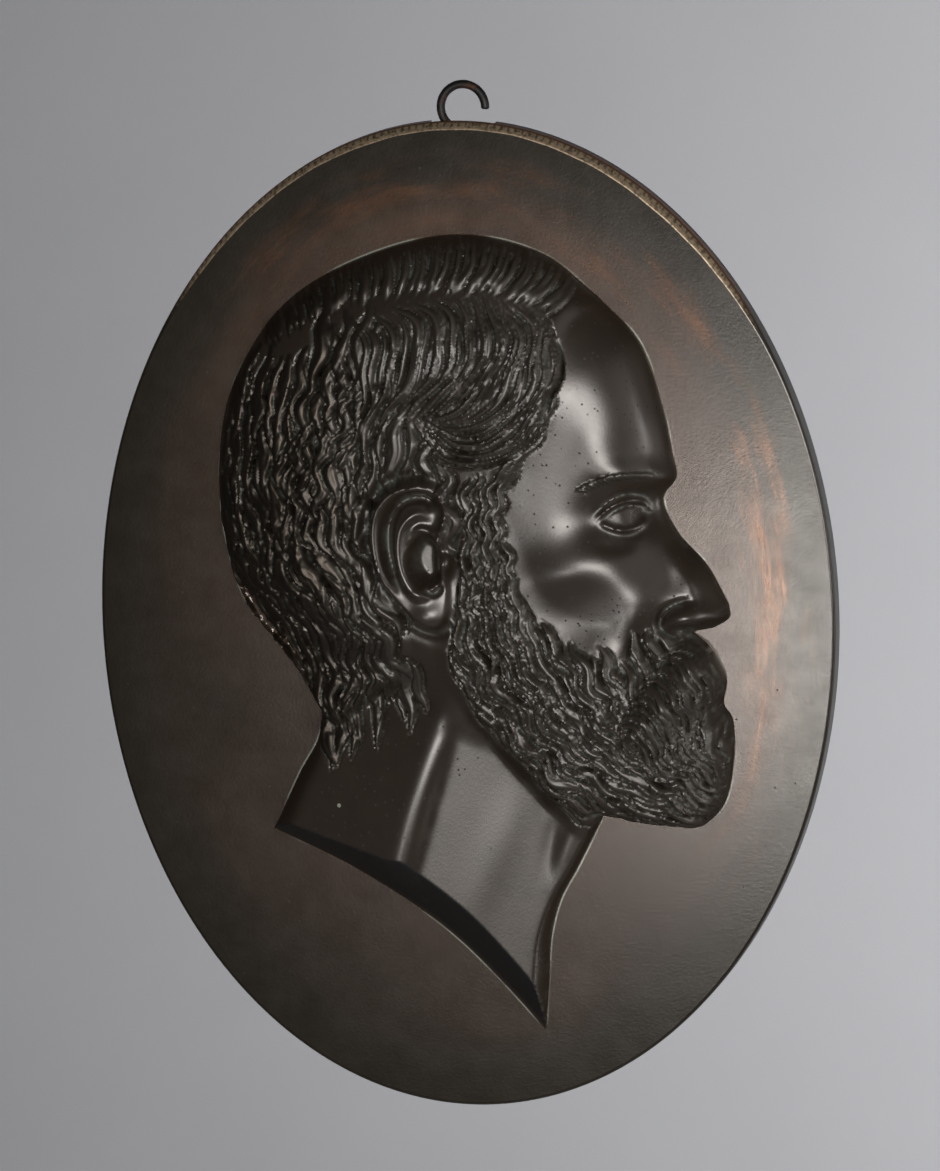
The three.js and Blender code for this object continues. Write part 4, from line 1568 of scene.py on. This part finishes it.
@dataclass
class ScrewHook:
    """The iron screw hook: a straight shank, a bend, and an open ring that ends in a blunt tip."""

    wire: float = 4.1
    inner_radius: float = 8.5
    open_from: float = -4.0
    open_to: float = 238.0
    neck: float = 5.5
    shank_pull: float = 3.2
    ring_pull: float = 3.4
    bend_steps: int = 18
    ring_steps: int = 80
    worn: float = 0.965
    hammered: float = 0.012
    sides: int = 28
    sharp_from: float = 50.0
    name: str = "screw_hook"

    def centre_line(self) -> Array:
        """The wire's centre line from the screw's foot to the tip.

        Returns:
            Rows of (x, z).
        """
        low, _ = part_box("iron_screw_hook")
        radius = self.inner_radius + self.wire / 2
        centre = -self.inner_radius
        shank_top = centre - radius - self.neck
        join_angle = math.radians(self.open_to)
        join = np.array([radius * math.cos(join_angle), centre + radius * math.sin(join_angle)])
        heading = np.array([math.sin(join_angle), -math.cos(join_angle)])
        start = np.array([0.0, shank_top])
        first, second = start + (0, self.shank_pull), join - self.ring_pull * heading
        t = np.linspace(0, 1, self.bend_steps)[:, None]
        bend = (1 - t) ** 3 * start + 3 * (1 - t) ** 2 * t * first
        bend = bend + 3 * (1 - t) * t**2 * second + t**3 * join
        turn = np.radians(np.linspace(self.open_to, self.open_from, self.ring_steps))
        ring = np.column_stack([radius * np.cos(turn), centre + radius * np.sin(turn)])
        foot = np.array([[0.0, low.z / MM], [0.0, blend(low.z / MM, shank_top, 0.5)]])
        return np.vstack([foot, bend, ring[1:]])

    def build(self) -> bpy.types.Object:
        """Sweeps the wire's round section, a little uneven, along its centre line.

        Returns:
            The hook, closed at both ends.
        """
        line = self.centre_line()
        way = np.gradient(line, axis=0)
        way /= np.hypot(*way.T)[:, None]
        across = np.column_stack([way[:, 1], -way[:, 0]])
        along = np.concatenate([[0.0], np.cumsum(np.hypot(*np.diff(line, axis=0).T))])
        from_tip = along[-1] - along
        shrink = 1 - 0.30 * np.clip(1 - from_tip / 0.9, 0, 1) ** 2
        bm = bmesh.new()
        rings = []
        angles = np.linspace(0, 2 * math.pi, self.sides, endpoint=False)
        for k, (x, z) in enumerate(line):
            uneven = self.hammered * math.sin(0.9 * along[k]) * math.cos(0.37 * along[k])
            radius = self.wire / 2 * shrink[k] * (self.worn + uneven)
            ring = []
            for angle in angles:
                side, out = radius * math.cos(angle), radius * math.sin(angle)
                place = Vector((x + side * across[k, 0], out, z + side * across[k, 1]))
                ring.append(bm.verts.new(place * MM))
            rings.append(ring)
        for upper, lower in zip(rings[:-1], rings[1:]):
            for i in range(self.sides):
                j = (i + 1) % self.sides
                bm.faces.new((upper[i], upper[j], lower[j], lower[i]))
        bm.faces.new(rings[0][::-1])
        bm.faces.new(rings[-1])
        bmesh.ops.recalc_face_normals(bm, faces=bm.faces)
        made = add_mesh(self.name, bm)
        made.data.shade_smooth()
        made.data.set_sharp_from_angle(angle=math.radians(self.sharp_from))
        return made


class Nodes:
    """A short hand for building a material's nodes."""

    def __init__(self, name: str) -> None:
        """Starts a material with its shader and output.

        Args:
            name: the material's name.
        """
        self.material = bpy.data.materials.new(name)
        self.material.use_nodes = True
        self.tree = self.material.node_tree
        self.tree.nodes.clear()
        self.shader = self.tree.nodes.new("ShaderNodeBsdfPrincipled")
        output = self.tree.nodes.new("ShaderNodeOutputMaterial")
        self.tree.links.new(self.shader.outputs["BSDF"], output.inputs["Surface"])

    def put(self, socket: Socket, value: object) -> None:
        """Gives a socket a value, or links another socket to it.

        Args:
            socket: the socket.
            value: a number, colour, vector or socket.
        """
        if isinstance(value, Socket):
            self.tree.links.new(value, socket)
        elif isinstance(value, tuple) and len(value) == 3 and socket.type == "RGBA":
            socket.default_value = (*value, 1.0)
        else:
            socket.default_value = value

    def place(self) -> Socket:
        """The place on the object, in metres."""
        return self.tree.nodes.new("ShaderNodeTexCoord").outputs["Object"]

    def mark(self, name: str) -> Socket:
        """A mark stored on the mesh.

        Args:
            name: the mark's name.

        Returns:
            Its value.
        """
        node = self.tree.nodes.new("ShaderNodeAttribute")
        node.attribute_name = name
        return node.outputs["Fac"]

    def math(self, kind: str, *values: object) -> Socket:
        """Arithmetic on sockets and numbers.

        Args:
            kind: the operation, with '!' after it to keep the result between 0 and 1.
            *values: what it works on.

        Returns:
            The result.
        """
        node = self.tree.nodes.new("ShaderNodeMath")
        node.operation = kind.rstrip("!").upper()
        node.use_clamp = kind.endswith("!")
        for socket, value in zip(node.inputs, values):
            self.put(socket, value)
        return node.outputs[0]

    def times(self, first: object, second: object) -> Socket:
        """The product of two values."""
        return self.math("multiply", first, second)

    def plus(self, first: object, second: object) -> Socket:
        """The sum of two values."""
        return self.math("add", first, second)

    def minus(self, first: object, second: object) -> Socket:
        """The first value less the second."""
        return self.math("subtract", first, second)

    def between(self, value: object, low: float, high: float, to_low: float = 0.0,
                to_high: float = 1.0) -> Socket:
        """A value eased from to_low at low to to_high at high.

        Args:
            value: the value.
            low: where the easing starts.
            high: where it ends.
            to_low: the result at low.
            to_high: the result at high.

        Returns:
            The result.
        """
        node = self.tree.nodes.new("ShaderNodeMapRange")
        node.interpolation_type = "SMOOTHSTEP"
        for socket, given in zip(node.inputs, (value, low, high, to_low, to_high)):
            self.put(socket, given)
        return node.outputs[0]

    def noise(self, scale: float, detail: float = 3.0, rough: float = 0.5,
              shift: float = 0.0) -> Socket:
        """Cloudy noise over the object.

        Args:
            scale: cycles per metre.
            detail: how many finer layers it has.
            rough: how strong these are.
            shift: a move that sets it apart from the others.

        Returns:
            A value from 0 to 1.
        """
        mapping = self.tree.nodes.new("ShaderNodeMapping")
        self.put(mapping.inputs["Vector"], self.place())
        mapping.inputs["Location"].default_value = (shift, 0.7 * shift, -shift)
        node = self.tree.nodes.new("ShaderNodeTexNoise")
        self.put(node.inputs["Vector"], mapping.outputs[0])
        node.inputs["Scale"].default_value = scale
        node.inputs["Detail"].default_value = detail
        node.inputs["Roughness"].default_value = rough
        return node.outputs["Fac"]

    def strokes(self, away: object, angle: object, per_mm: float, per_turn: float,
                shift: float) -> Socket:
        """Long cloudy strokes round the oval.

        Args:
            away: the distance from the oval's middle.
            angle: the angle round it.
            per_mm: cycles per millimetre outwards.
            per_turn: their fineness round the oval.
            shift: a move that sets them apart from the others.

        Returns:
            A value from 0 to 1.
        """
        join = self.tree.nodes.new("ShaderNodeCombineXYZ")
        self.put(join.inputs[0], self.times(away, per_mm))
        self.put(join.inputs[1], self.times(self.math("sine", angle), per_turn / 2))
        level = self.times(self.math("cosine", angle), per_turn / 2)
        self.put(join.inputs[2], self.plus(level, shift))
        node = self.tree.nodes.new("ShaderNodeTexNoise")
        self.put(node.inputs["Vector"], join.outputs[0])
        node.inputs["Scale"].default_value = 1.0
        node.inputs["Detail"].default_value = 4.0
        node.inputs["Roughness"].default_value = 0.6
        return node.outputs["Fac"]

    def spot(self, middle: Place) -> Socket:
        """How far a place lies, seen from the front, from the middle of a spot.

        Args:
            middle: the spot's middle.

        Returns:
            The distance in metres.
        """
        flat = self.tree.nodes.new("ShaderNodeVectorMath")
        flat.operation = "MULTIPLY"
        self.put(flat.inputs[0], self.place())
        flat.inputs[1].default_value = (1.0, 0.0, 1.0)
        far = self.tree.nodes.new("ShaderNodeVectorMath")
        far.operation = "DISTANCE"
        self.put(far.inputs[0], flat.outputs[0])
        far.inputs[1].default_value = middle
        return far.outputs["Value"]

    def specks(self, scale: float, size: float, chance: float) -> Socket:
        """Small round specks.

        Args:
            scale: cells per metre.
            size: a speck's radius, as a share of its cell.
            chance: the share of cells with a speck.

        Returns:
            1 in the middle of a speck and 0 between them.
        """
        node = self.tree.nodes.new("ShaderNodeTexVoronoi")
        node.inputs["Scale"].default_value = scale
        self.put(node.inputs["Vector"], self.place())
        split = self.tree.nodes.new("ShaderNodeSeparateColor")
        self.put(split.inputs[0], node.outputs["Color"])
        chosen = self.math("less_than", split.outputs[0], chance)
        return self.times(self.between(node.outputs["Distance"], size, size * 0.4), chosen)

    def mix(self, share: object, first: object, second: object) -> Socket:
        """A colour between two.

        Args:
            share: how much of the second it has.
            first: the first colour.
            second: the second colour.

        Returns:
            The colour.
        """
        node = self.tree.nodes.new("ShaderNodeMix")
        node.data_type = "RGBA"
        self.put(node.inputs["Factor"], share)
        self.put(node.inputs[6], first)
        self.put(node.inputs[7], second)
        return node.outputs[2]

    def bump(self, height: object, distance: float, strength: float = 1.0,
             below: object = None) -> Socket:
        """A bumped normal from a height, on top of another bump if there is one below.

        Args:
            height: the height, from 0 to 1.
            distance: how far that reaches, in metres.
            strength: how strongly it shows.
            below: the normal that it lies on.

        Returns:
            The normal.
        """
        node = self.tree.nodes.new("ShaderNodeBump")
        node.inputs["Distance"].default_value = distance
        node.inputs["Strength"].default_value = strength
        self.put(node.inputs["Height"], height)
        if below is not None:
            self.put(node.inputs["Normal"], below)
        return node.outputs[0]


@dataclass(frozen=True)
class BronzePatina:
    """Waxed brown-black bronze, rubbed to copper, green in its hollows and bare where it was filed."""

    # Near black: painted shade on the neck's cut face and in the pores and pits.
    shade_black: Colour = (0.006, 0.005, 0.004)
    dark: Colour = (0.026, 0.021, 0.016)
    brown: Colour = (0.092, 0.054, 0.034)
    umber: Colour = (0.036, 0.023, 0.0145)
    olive: Colour = (0.022, 0.017, 0.010)
    copper: Colour = (0.30, 0.125, 0.055)
    worn: Colour = (0.085, 0.068, 0.048)
    green: Colour = (0.115, 0.135, 0.115)
    pale: Colour = (0.36, 0.37, 0.31)
    bare: Colour = (0.42, 0.31, 0.20)
    outer_edge_brown: Colour = (0.17, 0.075, 0.035)
    rubbing: float = 0.30
    gloss: float = 0.23
    skin_gloss: float = 0.10
    hair_gloss: float = 0.18
    metal: float = 0.36
    bending: float = 1.8
    fleck: Place = (-0.054, 0.0, -0.339)
    half_width: float = 0.180
    half_height: float = 0.240
    centre_z: float = -0.2535
    file_marks: float = 330.0

    def make(self) -> bpy.types.Material:
        """Builds the material.

        Returns:
            The material.
        """
        n = Nodes("patinated_bronze")
        relief, hair, hollow = n.mark("relief"), n.mark("hair"), n.mark("hollow")
        deep, crest, cut = n.mark("deep"), n.mark("crest"), n.mark("cut")
        away, filed = n.mark("away"), n.mark("filed")
        split = n.tree.nodes.new("ShaderNodeSeparateXYZ")
        n.put(split.inputs[0], n.place())
        x, _, z = split.outputs
        u = n.math("divide", x, self.half_width)
        v = n.math("divide", n.minus(z, self.centre_z), self.half_height)
        share = n.math("sqrt", n.plus(n.times(u, u), n.times(v, v)))
        angle = n.math("arctan2", v, u)
        clouds = n.noise(14, 4, rough=0.6)
        fine_clouds = n.noise(70, 5, rough=0.65, shift=3.0)
        # The ground: warm brown near the head, most of all above it, and more olive towards its border.
        upper_right = n.between(n.plus(n.times(u, 0.7), v), -0.45, 0.70)
        reach = n.plus(away, n.times(n.minus(clouds, 0.5), 30.0))
        near = n.times(n.between(reach, 46.0, 12.0), n.between(clouds, 0.25, 0.7, 0.45, 1.0))
        near = n.times(near, n.between(u, 0.25, 0.70, 1.0, 0.15))
        ground = n.mix(n.times(near, n.between(upper_right, 0.0, 1.0, 0.3, 1.0)), self.umber,
                       self.brown)
        wander = n.times(n.minus(clouds, 0.5), 0.10)
        border = n.between(n.plus(share, wander), 0.80, 0.94)
        ground = n.mix(n.times(border, 0.9), ground, self.olive)
        # Rubbed copper in soft streaks round the oval, most of them above and to the right.
        out = n.times(share, 1000 * self.half_width)
        streaks = n.strokes(out, angle, 0.085, 6.0, 5.0)
        fine = n.strokes(out, angle, 0.55, 22.0, 11.0)
        band = n.times(n.between(share, 0.70, 0.84), n.between(share, 0.955, 0.88))
        rub = n.times(n.times(band, n.between(streaks, 0.44, 0.70)),
                     n.times(n.between(fine, 0.30, 0.66, 0.30, 1.0), upper_right))
        rub = n.times(rub, n.between(away, 1.0, 9.0))
        ground = n.mix(n.math("multiply!", rub, self.rubbing), ground, self.copper)
        # The head: nearly black, browner on its worn high places and green in its hollows; the neck's cut
        # face is painted near black as painted shade.
        skin = n.times(relief, n.minus(1.0, n.math("maximum", hair, cut)))
        head = n.mix(n.between(fine_clouds, 0.30, 0.75, 0.0, 0.8), self.dark, self.umber)
        head = n.mix(n.times(skin, 0.5), head, self.umber)
        head = n.mix(n.times(crest, n.times(hair, 0.30)), head, self.worn)
        green = n.times(n.math("maximum", hollow, n.times(deep, 0.7)),
                       n.between(fine_clouds, 0.42, 0.62))
        head = n.mix(n.math("multiply!", green, 0.45), head, self.green)
        # Painted shade: the sloping cut face of the neck takes the near-black shade colour.
        head = n.mix(cut, head, self.shade_black)
        colour = n.mix(relief, ground, head)
        # A pale line where the head meets the ground, partly pale wax and partly a painted highlight where
        # the foot of the relief catches the light; pores in the skin and small dark pits.
        seam = n.times(n.between(away, 1.1, 0.4), n.between(away, 0.0, 0.15))
        seam = n.times(seam, n.between(n.noise(22, 3, shift=12.0), 0.46, 0.60))
        colour = n.mix(n.times(seam, 0.75), colour, self.pale)
        pores = n.times(n.specks(330, 0.24, 0.5), n.between(n.noise(30, 2, shift=7.0), 0.40, 0.56))
        pores = n.times(pores, skin)
        pits = n.math("maximum", pores, n.times(n.specks(210, 0.12, 0.05), 0.8))
        # Painted shade: pores and pits are coloured near black in place of the shade inside holes that the
        # mesh does not have.
        colour = n.mix(pits, colour, self.shade_black)
        fleck = n.times(relief, n.between(n.spot(self.fleck), 0.0011, 0.0008))
        colour = n.mix(fleck, colour, self.pale)
        # The filed bevel is bare metal, ticked across by the file, with a darker line outside it.
        turns = n.plus(n.times(angle, self.file_marks), n.times(clouds, 6.0))
        files = n.times(n.between(n.math("sine", turns), 0.2, 0.9), n.between(share, 0.984, 0.989))
        bare = n.mix(n.between(n.noise(600, 3, rough=0.7, shift=2.0), 0.40, 0.75), self.bare, self.umber)
        bare = n.mix(n.times(files, 0.6), bare, self.dark)
        # A darker orange-brown line along the outermost part of the bevel.
        bare = n.mix(n.between(share, 0.9915, 0.9945), bare, self.outer_edge_brown)
        edge = n.between(filed, 0.15, 0.7)
        colour = n.mix(n.times(edge, 0.9), colour, bare)
        n.put(n.shader.inputs["Base Color"], colour)
        gloss = n.plus(n.plus(self.gloss, n.times(skin, self.skin_gloss)),
                       n.times(n.minus(fine_clouds, 0.5), 0.12))
        gloss = n.plus(gloss, n.times(hair, self.hair_gloss))
        gloss = n.plus(gloss, n.times(pits, 0.5))
        gloss = n.plus(gloss, n.times(n.math("maximum", green, cut), 0.25))
        side = n.between(share, 0.990, 0.995)
        n.put(n.shader.inputs["Roughness"],
              n.plus(gloss, n.times(n.math("maximum", edge, side), 0.2)))
        plain = n.times(n.minus(1.0, relief), 0.12)
        plain = n.plus(plain, n.times(hair, n.between(x, -0.01, -0.07, 0.0, 0.45)))
        n.put(n.shader.inputs["Metallic"],
              n.plus(n.plus(self.metal, plain),
                     n.times(n.plus(rub, edge), 0.12)))
        n.shader.inputs["IOR"].default_value = self.bending
        height = n.times(fine_clouds, 0.25)
        normal = n.bump(height, 0.0002, 0.5)
        normal = n.bump(n.noise(700, 3, rough=0.6, shift=1.0), 0.00007, 0.5, normal)
        normal = n.bump(n.times(files, edge), 0.0003, -0.6, normal)
        n.put(n.shader.inputs["Normal"], normal)
        return n.material


@dataclass(frozen=True)
class DarkIron:
    """Blackened iron wire with a little rust and rubbed high spots."""

    black: Colour = (0.022, 0.020, 0.019)
    rust: Colour = (0.10, 0.045, 0.022)
    rubbed: Colour = (0.07, 0.06, 0.055)
    metal: float = 0.7

    def make(self) -> bpy.types.Material:
        """Builds the material.

        Returns:
            The material.
        """
        n = Nodes("dark_iron")
        patches = n.noise(260, 4, rough=0.6)
        scale = n.noise(1500, 4, rough=0.7, shift=2.0)
        colour = n.mix(n.between(patches, 0.5, 0.72), self.black, self.rust)
        n.put(n.shader.inputs["Base Color"], n.mix(n.between(scale, 0.6, 0.8), colour, self.rubbed))
        n.put(n.shader.inputs["Roughness"], n.between(patches, 0.3, 0.7, 0.38, 0.65))
        n.shader.inputs["Metallic"].default_value = self.metal
        n.put(n.shader.inputs["Normal"], n.bump(scale, 0.0002, 0.6))
        return n.material


@dataclass(frozen=True)
class StudioPaint:
    """The studio's matt pale grey floor and wall."""

    pale: Colour = (0.40, 0.40, 0.42)
    paler: Colour = (0.43, 0.43, 0.45)

    def make(self) -> bpy.types.Material:
        """Builds the material.

        Returns:
            The material.
        """
        n = Nodes("studio_paint")
        n.put(n.shader.inputs["Base Color"], n.mix(n.noise(5, 4), self.pale, self.paler))
        n.shader.inputs["Roughness"].default_value = 0.85
        n.put(n.shader.inputs["Normal"], n.bump(n.noise(300, 3), 0.001, 0.15))
        return n.material


@dataclass
class Studio:
    """The pale sweep of floor and wall, the soft lights, and the camera."""

    floor_z: float = -2.20
    wall_y: float = 3.4
    bend: float = 1.0
    half_width: float = 5.0
    azimuth: float = 13.5
    elevation: float = 12.0
    distance: float = 1.70
    frame_height: float = 0.5563
    lift: float = 0.0197
    aside: float = 0.005
    aim: Place = (0.0, -0.0075, -0.2535)
    wash_spread: float = 100.0
    surround: Colour = (0.80, 0.82, 0.86)
    surround_strength: float = 0.050

    def build_sweep(self) -> None:
        """Builds the floor and wall in one sweep and marks it as the stage."""
        turn = np.linspace(0, math.pi / 2, 24)
        profile = [(-4.5, self.floor_z)]
        profile += [(self.wall_y - self.bend + self.bend * math.sin(a),
                     self.floor_z + self.bend * (1 - math.cos(a))) for a in turn]
        profile += [(self.wall_y, 4.0)]
        bm = bmesh.new()
        rows = [[bm.verts.new((side * self.half_width, y, z)) for side in (-1, 1)] for y, z in profile]
        for near, far in zip(rows[:-1], rows[1:]):
            bm.faces.new((near[0], near[1], far[1], far[0]))
        made = add_mesh("studio_sweep", bm)
        made.data.shade_smooth()
        made.data.materials.append(StudioPaint().make())

    def build_camera(self) -> None:
        """Builds the camera, turned to its viewing angle and then moved sideways to frame the plaque."""
        a, e = math.radians(self.azimuth), math.radians(self.elevation)
        back = Vector((math.sin(a) * math.cos(e), -math.cos(a) * math.cos(e), math.sin(e)))
        data = bpy.data.cameras.new("camera")
        data.sensor_width = 36.0
        data.lens = data.sensor_width / 2 / (self.frame_height / 2 / self.distance)
        made = add_object("camera", data)
        turn = (-back).to_track_quat("-Z", "Y")
        made.rotation_mode = "QUATERNION"
        made.rotation_quaternion = turn
        across, up = turn @ Vector((1, 0, 0)), turn @ Vector((0, 1, 0))
        made.location = Vector(self.aim) + back * self.distance + across * self.aside + up * self.lift
        bpy.context.scene.camera = made

    def add_light(self, name: str, place: Place, target: Place, size: Point, power: float,
                  colour: Colour = (1.0, 1.0, 1.0)) -> bpy.types.Object:
        """Adds a soft rectangular light.

        Args:
            name: its name.
            place: where it hangs.
            target: where it points.
            size: its width and height.
            power: its power in watts.
            colour: its colour.

        Returns:
            The light.
        """
        data = bpy.data.lights.new(name, "AREA")
        data.shape, data.size, data.size_y = "RECTANGLE", *size
        data.energy, data.color = power, colour
        made = add_object(name, data)
        made.location = place
        made.rotation_mode = "QUATERNION"
        made.rotation_quaternion = (Vector(target) - Vector(place)).to_track_quat("-Z", "Y")
        return made

    def toward(self, azimuth: float, elevation: float, distance: float) -> Place:
        """A place at a distance from the plaque, seen from the front.

        Args:
            azimuth: the angle to the right, in degrees.
            elevation: the angle up, in degrees.
            distance: the distance in metres.

        Returns:
            The place.
        """
        a, e = math.radians(azimuth), math.radians(elevation)
        x, y, z = math.sin(a) * math.cos(e), -math.cos(a) * math.cos(e), math.sin(e)
        return self.aim[0] + distance * x, self.aim[1] + distance * y, self.aim[2] + distance * z

    def build_lights(self) -> None:
        """Sets a window-like light at the right, a weak fill, a wash on the wall and a dim surround."""
        aim = self.aim
        self.add_light("window", self.toward(18, 4, 2.6), aim, (1.15, 0.90), 49.0, (1.0, 0.995, 0.98))
        self.add_light("window_sill", self.toward(-4, -12.5, 2.6), aim, (0.36, 0.34), 7.5)
        self.add_light("room", self.toward(70, 15, 2.6), aim, (1.5, 1.5), 4.0)
        wash = self.add_light("wall_wash", (3.4, 0.2, -0.7), (0.4, self.wall_y, -1.1), (2.0, 2.0), 97.0,
                              (1.0, 1.0, 0.99))
        wash.data.spread = math.radians(self.wash_spread)
        world = bpy.context.scene.world or bpy.data.worlds.new("world")
        bpy.context.scene.world = world
        world.use_nodes = True
        background = world.node_tree.nodes["Background"]
        background.inputs["Color"].default_value = (*self.surround, 1.0)
        background.inputs["Strength"].default_value = self.surround_strength


def dress(piece: bpy.types.Object, material: bpy.types.Material, node: str) -> None:
    """Gives a piece its finish and ties it to the CAD node that it stands for.

    Args:
        piece: the piece.
        material: its finish.
        node: the CAD node.
    """
    piece.data.materials.clear()
    piece.data.materials.append(material)
    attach(piece, "root")
    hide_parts(node)
    LOG.info("%s: %d faces", piece.name, len(piece.data.polygons))


def main() -> None:
    """Builds the plaque, its hook and the studio."""
    logging.basicConfig(level=logging.INFO, format="%(name)s: %(message)s")
    bpy.context.scene.view_settings.view_transform = "Standard"
    studio = Studio()
    studio.build_camera()
    studio.build_sweep()
    studio.build_lights()
    low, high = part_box("bronze_casting")
    ground = Ground((high.x - low.x) / 2 / MM, (high.z - low.z) / 2 / MM)
    head = Head(ground, Canon())
    head.model()
    dress(Casting(head, ground).build(), BronzePatina().make(), "bronze_casting")
    dress(ScrewHook().build(), DarkIron().make(), "iron_screw_hook")


if __name__ == "__main__":
    main()
